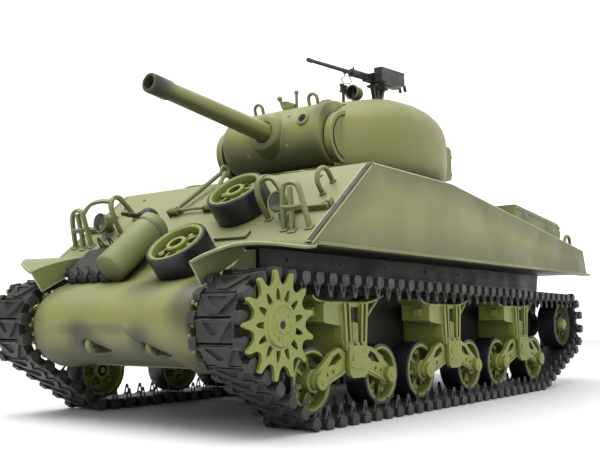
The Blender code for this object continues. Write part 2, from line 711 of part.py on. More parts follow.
def bogie_bracket_pieces(middle):
    """The bodies of one left bracket that are joined together."""
    inner = TUB_HALF_WIDTH + GAP
    face = [(-9.7, 51.5), (-9.7, 36.0), (-7.2, 31.2), (7.2, 31.2), (9.7, 36.0), (9.7, 51.5)]
    cap = [(-7.2, 33.5), (-7.2, 20.5), (-5.0, 19.2), (5.0, 19.2), (7.2, 20.5), (7.2, 33.5)]
    skid = [
        (-28.5, 53.2), (-24.5, 51.4), (-18.0, 50.8), (13.0, 50.8), (21.0, 52.6), (27.5, 54.2),
        (27.0, 55.5), (20.0, 53.9), (13.0, 52.2), (-18.0, 52.2), (-24.5, 52.9), (-28.0, 54.6),
    ]
    brace = [(9.0, 44.0), (19.0, 53.6), (21.5, 53.8), (9.0, 41.5)]

    def shifted(outline):
        return [(middle + y, z) for y, z in outline]

    return [
        block((inner, middle - 8.4, 21.0), (72.0, middle + 8.4, 51.5)),
        prism(shifted(face), "X", 71.0, 76.0),
        prism(shifted(cap), "X", 75.3, 77.6),
        block((58.0, middle - 22.0, 42.0), (74.6, middle - 8.0, 51.4)),
        prism(shifted(skid), "X", 58.5, 73.0),
        prism(shifted(brace), "X", 71.0, 73.4),
    ]


def build_bogie_bracket(name, side, middle, paint):
    """A bracket with its spring in a window and the pivot pins of its two arms."""
    pieces = bogie_bracket_pieces(middle)
    window = block((65.5, middle - 4.6, 34.0), (78.0, middle + 4.6, 49.0))
    steps = [(33.5, 0), (33.5, 3.7), (41.0, 3.7), (41.0, 3.0), (49.5, 3.0), (49.5, 0)]
    spring = lathe(steps, 10, direction=(0, 0, 1), centre=(70.5, middle, 0))
    pins = []
    for end in (-1, 1):
        y = middle + end * ARM_PIVOT_Y
        pins.append(rod(1.3, (71.5, y, ARM_PIVOT_Z), (76.0, y, ARM_PIVOT_Z), 8))
    if side < 0:
        pieces, pins = [mirrored(piece) for piece in pieces], [mirrored(pin) for pin in pins]
        window, spring = mirrored(window), mirrored(spring)
    bracket = join_all(name, pieces, paint)
    boolean(bracket, "DIFFERENCE", window)
    for piece in [spring, *pins]:
        boolean(bracket, "UNION", piece)


def build_arm(name, side, end, middle, paint):
    """A swing arm: plate with a hub boss and the axle that the road wheel turns on."""
    pivot = (0, middle + end * ARM_PIVOT_Y, ARM_PIVOT_Z)
    hub_y = WHEEL_SPACING / 2 - ARM_PIVOT_Y
    hub_z = WHEEL_Z - ARM_PIVOT_Z
    outline = arc((hub_y, hub_z), 3.6, -105, 60, 6) + [(12.0, 3.5), (5.5, 7.0), (1.0, 4.6)]
    outline += arc((0, 0), 3.2, 110, 255, 5)
    outline = [(end * y, z) for y, z in outline]

    def along(low, high):
        return sorted((side * low, side * high))

    arm = add_object(name, prism(outline, "X", *along(ARM_LOW_X, ARM_HIGH_X)), paint, origin=pivot)
    low, high = along(ARM_LOW_X - 2, ARM_HIGH_X + 2)
    boolean(arm, "DIFFERENCE", rod(1.65, (low, 0, 0), (high, 0, 0), 10))
    low, high = along(60.4, 74.0)
    boolean(arm, "UNION", rod(AXLE_RADIUS, (low, end * hub_y, hub_z), (high, end * hub_y, hub_z), 10))
    low, high = along(74.0, 76.6)
    boolean(arm, "UNION", rod(3.0, (low, end * hub_y, hub_z), (high, end * hub_y, hub_z), 12))


def build_road_wheel(name, side, y, paint):
    """Rim and tyre of one road wheel, turned about the hub."""
    bm = lathe(wheel_profile(), WHEEL_STEPS)
    if side < 0:
        bm = mirrored(bm)
    add_object(name, bm, paint, origin=(side * (WHEEL_FACE_X - WHEEL_HALF_WIDTH), y, WHEEL_Z))


def build_running_gear(paint):
    for side, letter, word in ((1, "L", "left"), (-1, "R", "right")):
        build_sprocket(f"sprocket_{word}", side, paint)
        build_idler(f"idler_{word}", side, paint)
        number = 1
        for index in range(BOGIES):
            middle = bogie_y(index)
            build_bogie_bracket(f"bogie_bracket_{letter}{index + 1}", side, middle, paint)
            for end in (-1, 1):
                build_arm(f"swing_arm_{letter}{number}", side, end, middle, paint)
                y = middle + end * WHEEL_SPACING / 2
                build_road_wheel(f"road_wheel_{letter}{number}", side, y, paint)
                number += 1


# ---------------------------------------------------------------- turret and guns

def turret_radius(angle):
    """Plan outline of the turret: a circle with a bustle at the back (angle 90 degrees)."""
    toward_back = math.sin(angle)
    radius = TURRET_RADIUS
    if toward_back > 0:
        side = BUSTLE_HALF_WIDTH / max(abs(math.cos(angle)), 0.001)
        back = BUSTLE_REAR / toward_back
        bustle = (side ** -6 + back ** -6) ** (-1 / 6)
        radius = max(TURRET_RADIUS, bustle)
    return radius


def roof_drop(y, z):
    """How far the roof slopes down towards the gun."""
    share = min(max((z - ROOF_SLOPE_Z) / (ROOF_TOP_Z - ROOF_SLOPE_Z), 0.0), 1.0)
    return share * 0.22 * max(0.0, -25.0 - y)


def turret_loft(levels, shrink=0.0, steps=32):
    """Rings of the plan outline, one for each (height, scale), capped at both ends."""
    bm = bmesh.new()
    rings = []
    for z, scale in levels:
        ring = []
        for i in range(steps):
            angle = 2 * math.pi * i / steps
            radius = (turret_radius(angle) - shrink) * scale
            y = TURRET_CENTRE_Y + radius * math.sin(angle)
            ring.append(bm.verts.new((radius * math.cos(angle), y, z - roof_drop(y, z))))
        rings.append(ring)
    for low, high in zip(rings, rings[1:]):
        for i in range(steps):
            j = (i + 1) % steps
            bm.faces.new((low[i], low[j], high[j], high[i]))
    bm.faces.new(rings[0][::-1])
    bm.faces.new(rings[-1])
    return bm


def build_turret(paint):
    levels = [
        (TURRET_BASE_Z, 0.86), (120.0, 0.94), (126.0, 0.985), (134.0, 1.0), (ROOF_SLOPE_Z, 0.99),
        (156.0, 0.94), (162.0, 0.84), (166.0, 0.68), (ROOF_TOP_Z, 0.45),
    ]
    shell = add_object("turret_shell", turret_loft(levels), paint)
    room = [(121.0, 0.97), (148.0, 0.97), (158.0, 0.86), (164.5, 0.60)]
    boolean(shell, "DIFFERENCE", turret_loft(room, shrink=3.0, steps=20))
    foot = rod(TURRET_RING_RADIUS, (0, TURRET_CENTRE_Y, 110), (0, TURRET_CENTRE_Y, 125), 24)
    boolean(shell, "DIFFERENCE", foot)
    half = SHIELD_HALF_WIDTH + 0.7
    swing = rod(SHIELD_RADIUS + 0.9, (-half, *TRUNNION), (half, *TRUNNION), 28)
    boolean(shell, "DIFFERENCE", swing)
    reach = SHIELD_RADIUS - 3
    mouth = block((-half, -90, TURRET_BASE_Z - 5), (half, TRUNNION[0] - 6, TRUNNION[1] + reach))
    boolean(shell, "DIFFERENCE", mouth)
    add_turret_fittings(shell)


def gun_turn():
    """Rotation that raises the gun to its elevation at rest."""
    return Matrix.Rotation(-GUN_ELEVATION, 4, "X")


def build_gun(paint, muzzle_paint):
    """The shield turns on the trunnions; the barrel slides back through its collar."""
    half = SHIELD_HALF_WIDTH
    edge, shoulder = SHIELD_RADIUS - 4.0, SHIELD_RADIUS - 1.3
    profile = [
        (-half, 9.0), (-half, edge), (-half + 2.0, shoulder), (-half + 6.0, SHIELD_RADIUS),
        (half - 6.0, SHIELD_RADIUS), (half - 2.0, shoulder), (half, edge), (half, 9.0),
    ]
    origin = (0, *TRUNNION)
    shield = add_object("gun_shield", lathe(profile, 28), paint, origin=origin)
    collar = moved(rod(9.6, (0, -14.0, 0), (0, -20.0, 0), 20, end_radius=8.2), turn=gun_turn())
    boolean(shield, "UNION", collar)
    for x in SHIELD_EYES_X:
        ring = moved(hoop(3.0, 7.6, 0.95), (x, 0, SHIELD_RADIUS - 1.2))
        boolean(shield, "UNION", moved(ring, turn=Matrix.Rotation(math.radians(17), 4, "X")))
    bore = moved(rod(5.6, (0, -4.0, 0), (0, -30.0, 0), 20), turn=gun_turn())
    boolean(shield, "DIFFERENCE", bore)
    muzzle = MUZZLE_DISTANCE
    barrel_profile = [
        (7.0, 0), (7.0, 5.1), (26.0, 5.1), (60.0, 4.6), (muzzle - 13, 4.3), (muzzle - 12.4, 4.7),
        (muzzle, 4.6), (muzzle, 3.1), (muzzle - 14, 3.1), (muzzle - 14, 0),
    ]
    barrel = moved(lathe(barrel_profile, 20, direction=(0, -1, 0)), turn=gun_turn())
    add_object("gun_barrel", barrel, muzzle_paint, origin=origin)


def add_turret_fittings(shell):
    """Hatch ring, ventilator dome, lifting eyes, vane sight, sight post and rear bracket."""
    top = ROOF_TOP_Z
    ring_profile = [
        (top - 2.0, HATCH_RADIUS + 0.4), (top - 2.0, HATCH_RADIUS + 2.2),
        (top + 1.8, HATCH_RADIUS + 1.6), (top + 1.8, HATCH_RADIUS + 0.4),
    ]
    dome = [
        (top - 2, 0), (top - 2, 6.4), (top + 0.4, 6.4), (top + 1.6, 5.6), (top + 2.6, 3.2), (top + 2.9, 0),
    ]
    bracket = [(66.0, 134.0), (78.5, 134.0), (78.5, 154.0), (66.0, 154.0)]
    pieces = [
        lathe(ring_profile, 24, direction=(0, 0, 1), centre=(*HATCH, 0)),
        lathe(dome, 16, direction=(0, 0, 1), centre=(4.0, -22.0, 0)),
        block((19.0, -32.0, 162.0), (21.4, -28.5, 176.0)),
        block((-4.5, -37.0, 158.0), (2.5, -32.0, 169.5)),
        prism(bracket, "X", 26.0, 30.0),
        rod(4.6, (*PINTLE, ROOF_TOP_Z - 4), (*PINTLE, ROOF_TOP_Z + 0.6), 12),
        rod(2.6, (*SPOTLIGHT, 161.0), (*SPOTLIGHT, SPOTLIGHT_BASE_Z), 10),
    ]
    for piece in pieces:
        boolean(shell, "UNION", piece)


def build_turret_hatch(paint):
    """The commander's lid, hinged on its outer side."""
    profile = [(0.6, 0), (0.6, HATCH_RADIUS), (1.6, HATCH_RADIUS), (2.4, HATCH_RADIUS - 2), (2.6, 0)]
    hinge_x, hinge_z = HATCH_HINGE
    centre = (HATCH[0] - hinge_x, 0, ROOF_TOP_Z - hinge_z)
    lid = lathe(profile, 24, direction=(0, 0, 1), centre=centre)
    add_object("turret_hatch", lid, paint, origin=(hinge_x, HATCH[1], hinge_z))


def build_spotlight(paint):
    """A swivelling searchlight on a short post, left front of the roof."""
    radius = SPOTLIGHT_RADIUS
    profile = [(-4.4, 0), (-4.4, radius - 1.6), (-2.4, radius - 0.3), (4.4, radius), (4.4, 0)]
    lamp = lathe(profile, 16, direction=(0, -1, 0), centre=(0, 0, SPOTLIGHT_HEIGHT))
    post = rod(1.2, (0, 0, 0), (0, 0, SPOTLIGHT_HEIGHT - 2), 8)
    join_all("spotlight", [lamp, post], paint, origin=(*SPOTLIGHT, SPOTLIGHT_BASE_Z + GAP))


def build_machine_gun(metal):
    """Pintle, gun and ammunition box on the left of the turret roof."""
    base = ROOF_TOP_Z + 0.6 + GAP
    pivot = MG_AXIS_Z - base
    fork_foot = pivot - 5.6
    origin = (*PINTLE, base)
    pintle = add_object("mg_pintle", rod(4.2, (0, 0, 0), (0, 0, 1.4), 14), metal, origin=origin)
    boolean(pintle, "UNION", rod(1.5, (0, 0, 1.0), (0, 0, fork_foot + 1.0), 8))
    boolean(pintle, "UNION", block((-3.1, -2.4, fork_foot), (3.1, 2.4, fork_foot + 1.4)))
    for x in (-3.1, 2.2):
        boolean(pintle, "UNION", block((x, -2.4, fork_foot), (x + 0.9, 2.4, pivot + 1.0)))

    tilt = Matrix.Rotation(MG_TILT, 4, "X")
    origin = (*PINTLE, MG_AXIS_Z)
    receiver = moved(block((-1.9, -13.0, -2.6), (1.9, 22.0, 2.8)), turn=tilt)
    gun = add_object("machine_gun", receiver, metal, origin=origin)
    boolean(gun, "UNION", moved(rod(2.1, (0, -12.5, 0), (0, -26.0, 0), 10), turn=tilt))
    boolean(gun, "UNION", moved(rod(1.2, (0, -25.0, 0), (0, -66.5, 0), 8), turn=tilt))
    boolean(gun, "UNION", moved(block((-2.8, 21.5, -2.2), (2.8, 29.5, 1.2)), turn=tilt))
    box = moved(block((3.5, -9.0, -3.0), (9.0, 16.5, 5.0)), turn=tilt)
    add_object("ammo_box", box, metal, origin=origin)


def build_bow_gun(metal):
    """The hull machine gun in its ball mount at the right of the front plate."""
    ball = bmesh.new()
    bmesh.ops.create_uvsphere(ball, u_segments=14, v_segments=8, radius=5.0)
    gun = add_object("bow_gun", ball, metal, origin=on_glacis(*BOW_GUN))
    boolean(gun, "UNION", rod(1.3, (0, -3.0, 0), (0, -17.5, 0), 8))


def cut_ball_socket():
    """Room in the front plate for the hull gun's ball."""
    socket = bmesh.new()
    bmesh.ops.create_uvsphere(socket, u_segments=16, v_segments=10, radius=5.4)
    hull = bpy.data.objects["upper_hull"]
    boolean(hull, "DIFFERENCE", moved(socket, on_glacis(*BOW_GUN)))


# ---------------------------------------------------------------- assembly

def build():
    for old in list(bpy.data.objects):
        bpy.data.objects.remove(old, do_unlink=True)
    bpy.context.scene.collection.children.link(PARTS)
    bpy.context.scene.collection.children.link(CUTTERS)
    paint = material("hull_paint", GREEN, 0.6)
    bright = material("running_gear_paint", BRIGHT_GREEN, 0.55)
    rubber = material("track_rubber", TRACK_BLACK, 0.75)
    metal = material("gun_metal", GUN_METAL, 0.45, 0.4)
    cast = material("cast_metal", CAST_METAL, 0.5, 0.8)

    build_lower_hull(paint)
    build_upper_hull(paint)
    cut_ball_socket()
    build_engine_deck(paint)
    build_final_drive_cover(paint)
    for side, word in ((1, "left"), (-1, "right")):
        build_lamp_guard(f"lamp_guard_{word}", side, paint)
    build_glacis_canister(paint)
    build_spare_wheels(bright)
    build_spare_track_links(rubber)
    build_travel_lock(paint)
    build_stowage_box(paint)
    build_electrics(material("battery_wrap", BATTERY_BLUE, 0.4), material("board", BOARD_GREEN, 0.5), cast)
    build_track("track_left", 1, rubber)
    build_track("track_right", -1, rubber)
    build_running_gear(bright)
    build_turret(paint)
    build_turret_hatch(paint)
    build_gun(paint, material("barrel_paint", GREEN, 0.55))
    build_spotlight(paint)
    build_machine_gun(metal)
    build_bow_gun(metal)


build()
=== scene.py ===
"""Looks of the radio-controlled model tank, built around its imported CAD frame.

The tank faces -Y, its left side is +X and +Z is up. Lengths below are millimetres in
the CAD's own frame; MM turns them into metres where a mesh is made.
"""

import json
import math

import bmesh
import bpy
from mathutils import Matrix, Vector


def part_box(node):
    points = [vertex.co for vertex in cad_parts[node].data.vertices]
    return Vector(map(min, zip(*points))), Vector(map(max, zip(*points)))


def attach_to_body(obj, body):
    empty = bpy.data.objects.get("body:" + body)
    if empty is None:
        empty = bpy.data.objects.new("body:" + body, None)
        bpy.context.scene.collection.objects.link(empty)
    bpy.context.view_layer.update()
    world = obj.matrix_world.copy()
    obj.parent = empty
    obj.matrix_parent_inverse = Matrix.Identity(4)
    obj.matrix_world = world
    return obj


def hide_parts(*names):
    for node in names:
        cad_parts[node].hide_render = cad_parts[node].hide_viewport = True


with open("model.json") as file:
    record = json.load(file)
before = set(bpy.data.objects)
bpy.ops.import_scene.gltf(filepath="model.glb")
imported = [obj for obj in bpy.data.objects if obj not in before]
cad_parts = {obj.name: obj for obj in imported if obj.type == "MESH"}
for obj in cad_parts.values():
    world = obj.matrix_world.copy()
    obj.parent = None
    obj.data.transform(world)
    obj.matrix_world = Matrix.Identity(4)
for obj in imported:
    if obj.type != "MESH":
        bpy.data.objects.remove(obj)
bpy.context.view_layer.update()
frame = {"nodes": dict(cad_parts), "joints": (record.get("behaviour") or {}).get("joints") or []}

MM = 0.001
CORNER = bmesh.types.BMVert


# ---------------------------------------------------------------- places taken from the frame

def mm_box(node):
    """A CAD node's lowest and highest corners in mm."""
    low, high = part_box(node)
    return low / MM, high / MM


def joint(name):
    found = [j for j in frame["joints"] if j["name"] == name][0]
    return Vector(found["pos_m"]) / MM


HULL_HIGH = mm_box("upper_hull")[1]
TUB_HIGH = mm_box("lower_hull")[1]
TRACK_LOW, TRACK_HIGH = mm_box("track_left")
TURRET_LOW, TURRET_HIGH = mm_box("turret_shell")

HALF_WIDTH = HULL_HIGH.x
HALF_LENGTH = HULL_HIGH.y
SPONSON_Z = TUB_HIGH.z + 0.3
ROOF_Z = 113.7
GLACIS_FOOT_Y, GLACIS_TOP_Y = -145.1, -99.4
ROOF_BREAK_Y = -22.5
REAR_TOP_Y, REAR_TOP_Z = 174.5, 91.1
REAR_FOOT_Y = 180.5
GLACIS_ANGLE = math.atan2(ROOF_Z - SPONSON_Z, GLACIS_TOP_Y - GLACIS_FOOT_Y)

SPROCKET = joint("sprocket_left_spin")
IDLER = joint("idler_left_spin")
SPROCKET_PITCH_RADIUS = 19.1
SPROCKET_TEETH = 13
WHEEL_RADIUS = 14.0
WHEEL_HALF_WIDTH = 5.8
IDLER_RADIUS = 15.1
TYRE_GAP = 0.5
BOGIES = 3
LINKS = 83
TRACK_THICKNESS = 4.8
TRACK_WIDTH = TRACK_HIGH.x - TRACK_LOW.x
NOMINAL_PITCH = 9.1
HORN_TIP = TRACK_THICKNESS / 2 + 5.2
GROUND_CLEARANCE = 0.02

TURRET_CENTRE = joint("turret_yaw")
TURRET_RADIUS = TURRET_HIGH.x
ROOF_TOP_Z = 167.0
TRUNNION = joint("gun_elevation")
GUN_TILT = math.radians(6.2)
SHIELD_HALF = 34.5
SHIELD_RADIUS = 17.8
MG_PIVOT = joint("mg_pitch")
MG_TILT = math.radians(4.0)
SPOTLIGHT = joint("spotlight_yaw")
HATCH_HINGE = joint("turret_hatch_hinge")
HATCH_RADIUS = 12.5
TURRET_REACH = 84.0    # no part of the shell is further from its centre


def on_glacis(x, along, lift):
    """A point on the front plate: distance up from its foot, and height off it."""
    y = GLACIS_FOOT_Y + along * math.cos(GLACIS_ANGLE) - lift * math.sin(GLACIS_ANGLE)
    z = SPONSON_Z + along * math.sin(GLACIS_ANGLE) + lift * math.cos(GLACIS_ANGLE)
    return Vector((x, y, z))


def glacis_frame(x, along, lift=0.0, spin=0.0):
    tilt = Matrix.Rotation(GLACIS_ANGLE, 4, "X")
    return Matrix.Translation(on_glacis(x, along, lift)) @ tilt @ Matrix.Rotation(math.radians(spin), 4, "Z")


def deck_z(y):
    """Height of the roof at this y: flat in front, sloping to the rear behind."""
    if y < ROOF_BREAK_Y:
        return ROOF_Z
    share = (y - ROOF_BREAK_Y) / (REAR_TOP_Y - ROOF_BREAK_Y)
    return ROOF_Z + share * (REAR_TOP_Z - ROOF_Z)


def deck_frame(x, y):
    """A frame on the roof at this place, tilted as the sloping deck is."""
    slope = math.atan2(REAR_TOP_Z - ROOF_Z, REAR_TOP_Y - ROOF_BREAK_Y)
    return Matrix.Translation((x, y, deck_z(y))) @ Matrix.Rotation(slope, 4, "X")


# ---------------------------------------------------------------- mesh helpers

def put(bm, piece, matrix=None):
    """Add a mesh to another one, moved by the matrix."""
    if matrix is not None:
        bmesh.ops.transform(piece, verts=piece.verts, matrix=matrix)
    mesh = bpy.data.meshes.new("scratch")
    piece.to_mesh(mesh)
    piece.free()
    bm.from_mesh(mesh)
    bpy.data.meshes.remove(mesh)
    return bm


def block(low, high):
    bm = bmesh.new()
    bmesh.ops.create_cube(bm, size=1.0)
    bmesh.ops.scale(bm, verts=bm.verts, vec=[b - a for a, b in zip(low, high)])
    bmesh.ops.translate(bm, verts=bm.verts, vec=[(a + b) / 2 for a, b in zip(low, high)])
    return bm


def rod(start, end, radius, steps=12, end_radius=None):
    start, end = Vector(start), Vector(end)
    bm = bmesh.new()
    top = radius if end_radius is None else end_radius
    bmesh.ops.create_cone(
        bm, cap_ends=True, segments=steps, radius1=radius, radius2=top, depth=(end - start).length,
    )
    turn = (end - start).to_track_quat("Z", "Y").to_matrix().to_4x4()
    bmesh.ops.transform(bm, verts=bm.verts, matrix=Matrix.Translation((start + end) / 2) @ turn)
    return bm


def ball(centre, radius, steps=12):
    bm = bmesh.new()
    bmesh.ops.create_uvsphere(bm, u_segments=steps, v_segments=max(6, steps // 2), radius=radius)
    bmesh.ops.translate(bm, verts=bm.verts, vec=centre)
    return bm


def prism(outline, axis, low, high):
    """A flat outline in the plane across the axis, extruded along it."""
    place = {
        "X": lambda a, b: (low, a, b), "Y": lambda a, b: (a, low, b), "Z": lambda a, b: (a, b, low)
    }[axis]
    step = {"X": (high - low, 0, 0), "Y": (0, high - low, 0), "Z": (0, 0, high - low)}[axis]
    bm = bmesh.new()
    face = bm.faces.new([bm.verts.new(place(a, b)) for a, b in outline])
    grown = bmesh.ops.extrude_face_region(bm, geom=[face])["geom"]
    bmesh.ops.translate(bm, verts=[v for v in grown if isinstance(v, CORNER)], vec=step)
    return bm


def lathe(profile, steps, direction=(1, 0, 0), centre=(0, 0, 0)):
    """Turn a profile of (distance along the axis, radius) about an axis."""
    bm = bmesh.new()
    verts = [bm.verts.new((along, 0, radius)) for along, radius in profile]
    edges = [bm.edges.new(pair) for pair in zip(verts, verts[1:])]
    if profile[0][1] > 0:
        edges.append(bm.edges.new((verts[-1], verts[0])))
    bmesh.ops.spin(
        bm, geom=verts + edges, cent=(0, 0, 0), axis=(1, 0, 0), dvec=(0, 0, 0),
        angle=2 * math.pi, steps=steps, use_merge=True, use_duplicate=False,
    )
    bmesh.ops.remove_doubles(bm, verts=bm.verts, dist=0.0005)
    turn = Vector(direction).to_track_quat("X", "Z").to_matrix().to_4x4()
    bmesh.ops.transform(bm, verts=bm.verts, matrix=Matrix.Translation(centre) @ turn)
    return bm


def bridge(bm, low, high, ring=False):
    """Four-sided faces between two rows of vertices, or two rings."""
    for k in range(len(low) if ring else len(low) - 1):
        n = (k + 1) % len(low)
        bm.faces.new((low[k], low[n], high[n], high[k]))


def cap_ends(bm, rings):
    bm.faces.new(rings[0][::-1])
    bm.faces.new(rings[-1])


def tube(points, radius, sides=8, closed=False):
    """A round wire through points, with flat ends."""
    bm = bmesh.new()
    points = [Vector(p) for p in points]
    count = len(points)
    rings = []
    across = None
    for i, point in enumerate(points):
        if closed:
            run = points[(i + 1) % count] - points[i - 1]
        else:
            run = points[min(i + 1, count - 1)] - points[max(i - 1, 0)]
        run.normalize()
        if across is None:
            across = run.orthogonal().normalized()
        across = (across - run * across.dot(run)).normalized()
        up = run.cross(across)
        angles = [2 * math.pi * k / sides for k in range(sides)]
        rings.append([
            bm.verts.new(point + (across * math.cos(a) + up * math.sin(a)) * radius) for a in angles
        ])
    pairs = list(zip(rings, rings[1:]))
    if closed:
        pairs.append((rings[-1], rings[0]))
    for low, high in pairs:
        bridge(bm, low, high, ring=True)
    if not closed:
        cap_ends(bm, rings)
    return bm


def arc(centre, radius, start, end, count):
    angles = [math.radians(start + (end - start) * i / (count - 1)) for i in range(count)]
    return [(centre[0] + radius * math.cos(a), centre[1] + radius * math.sin(a)) for a in angles]


def hoop(half_width, height, wire, sides=8):
    """An arch of round wire standing on Z = 0 in the XZ plane, with small feet."""
    straight = height - half_width - wire
    points = [(half_width, 0, 0)] + [(x, 0, z) for x, z in arc((0, straight), half_width, 0, 180, 15)]
    points += [(-half_width, 0, 0)]
    bm = tube(points, wire, sides)
    for side in (-1, 1):
        put(bm, rod((side * half_width, 0, 0), (side * half_width, 0, 0.8), wire * 1.5, 10))
    return bm


def bolt(radius=0.8, height=0.5):
    """A hexagon head with its face at the top, standing on Z = 0."""
    return rod((0, 0, 0), (0, 0, height), radius, 6, end_radius=radius * 0.9)


def mirrored(bm):
    bmesh.ops.scale(bm, verts=bm.verts, vec=(-1, 1, 1))
    bmesh.ops.reverse_faces(bm, faces=bm.faces)
    return bm


def on_side(bm, side):
    """The mesh as it is for the left side, mirrored for the right."""
    return bm if side > 0 else mirrored(bm)


def both_sides(half):
    """Points and then their mirror image in the first number, in reverse order."""
    return half + [(-a, b) for a, b in reversed(half)]


def turned(degrees, axis):
    return Matrix.Rotation(math.radians(degrees), 4, axis)


def carved(bm, cutter):
    """The mesh with another one cut out of it."""
    objects = []
    for name, part in (("scratch_body", bm), ("scratch_cutter", cutter)):
        bmesh.ops.recalc_face_normals(part, faces=part.faces)
        mesh = bpy.data.meshes.new(name)
        part.to_mesh(mesh)
        part.free()
        made = bpy.data.objects.new(name, mesh)
        bpy.context.scene.collection.objects.link(made)
        objects.append(made)
    body, tool = objects
    step = body.modifiers.new("cut", "BOOLEAN")
    step.operation = "DIFFERENCE"
    step.solver = "EXACT"
    step.object = tool
    graph = bpy.context.evaluated_depsgraph_get()
    mesh = bpy.data.meshes.new_from_object(body.evaluated_get(graph))
    result = bmesh.new()
    result.from_mesh(mesh)
    for made in objects:
        old = made.data
        bpy.data.objects.remove(made)
        bpy.data.meshes.remove(old)
    bpy.data.meshes.remove(mesh)
    return result


def attach(made, body, stands_for):
    """Let a piece ride on a CAD body, in place of a CAD node if it stands for one."""
    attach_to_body(made, body)
    if stands_for:
        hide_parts(stands_for)


def place_in_mm(made, matrix):
    """Place an object by a matrix whose lengths are in mm."""
    place = matrix.copy()
    place.translation = matrix.translation * MM
    made.matrix_world = place


def piece(name, bm, finish, body, stands_for=(), bevel=0.0, angle=32, slot="hull_paint"):
    """Make a mesh in mm into a finished piece that rides on a CAD body."""
    bmesh.ops.recalc_face_normals(bm, faces=bm.faces)
    bmesh.ops.scale(bm, verts=bm.verts, vec=(MM, MM, MM))
    mesh = bpy.data.meshes.new(name)
    bm.to_mesh(mesh)
    bm.free()
    mesh.shade_smooth()
    mesh.set_sharp_from_angle(angle=math.radians(angle))
    mesh.materials.append(finish)
    made = bpy.data.objects.new(name, mesh)
    bpy.context.scene.collection.objects.link(made)
    if bevel:
        step = made.modifiers.new("edges", "BEVEL")
        step.width = bevel * MM
        step.segments = 2
        step.limit_method = "ANGLE"
        step.angle_limit = math.radians(angle)
        step.harden_normals = True
    attach(made, body, stands_for)
    return made


def copy_of(first, name, matrix, body, stands_for):
    """Another piece with the same mesh, placed by a matrix in mm."""
    made = bpy.data.objects.new(name, first.data)
    bpy.context.scene.collection.objects.link(made)
    for old in first.modifiers:
        step = made.modifiers.new(old.name, old.type)
        step.width, step.segments = old.width, old.segments
        step.limit_method, step.angle_limit = old.limit_method, old.angle_limit
        step.harden_normals = old.harden_normals
    place_in_mm(made, matrix)
    attach(made, body, stands_for)
    return made


# ---------------------------------------------------------------- materials

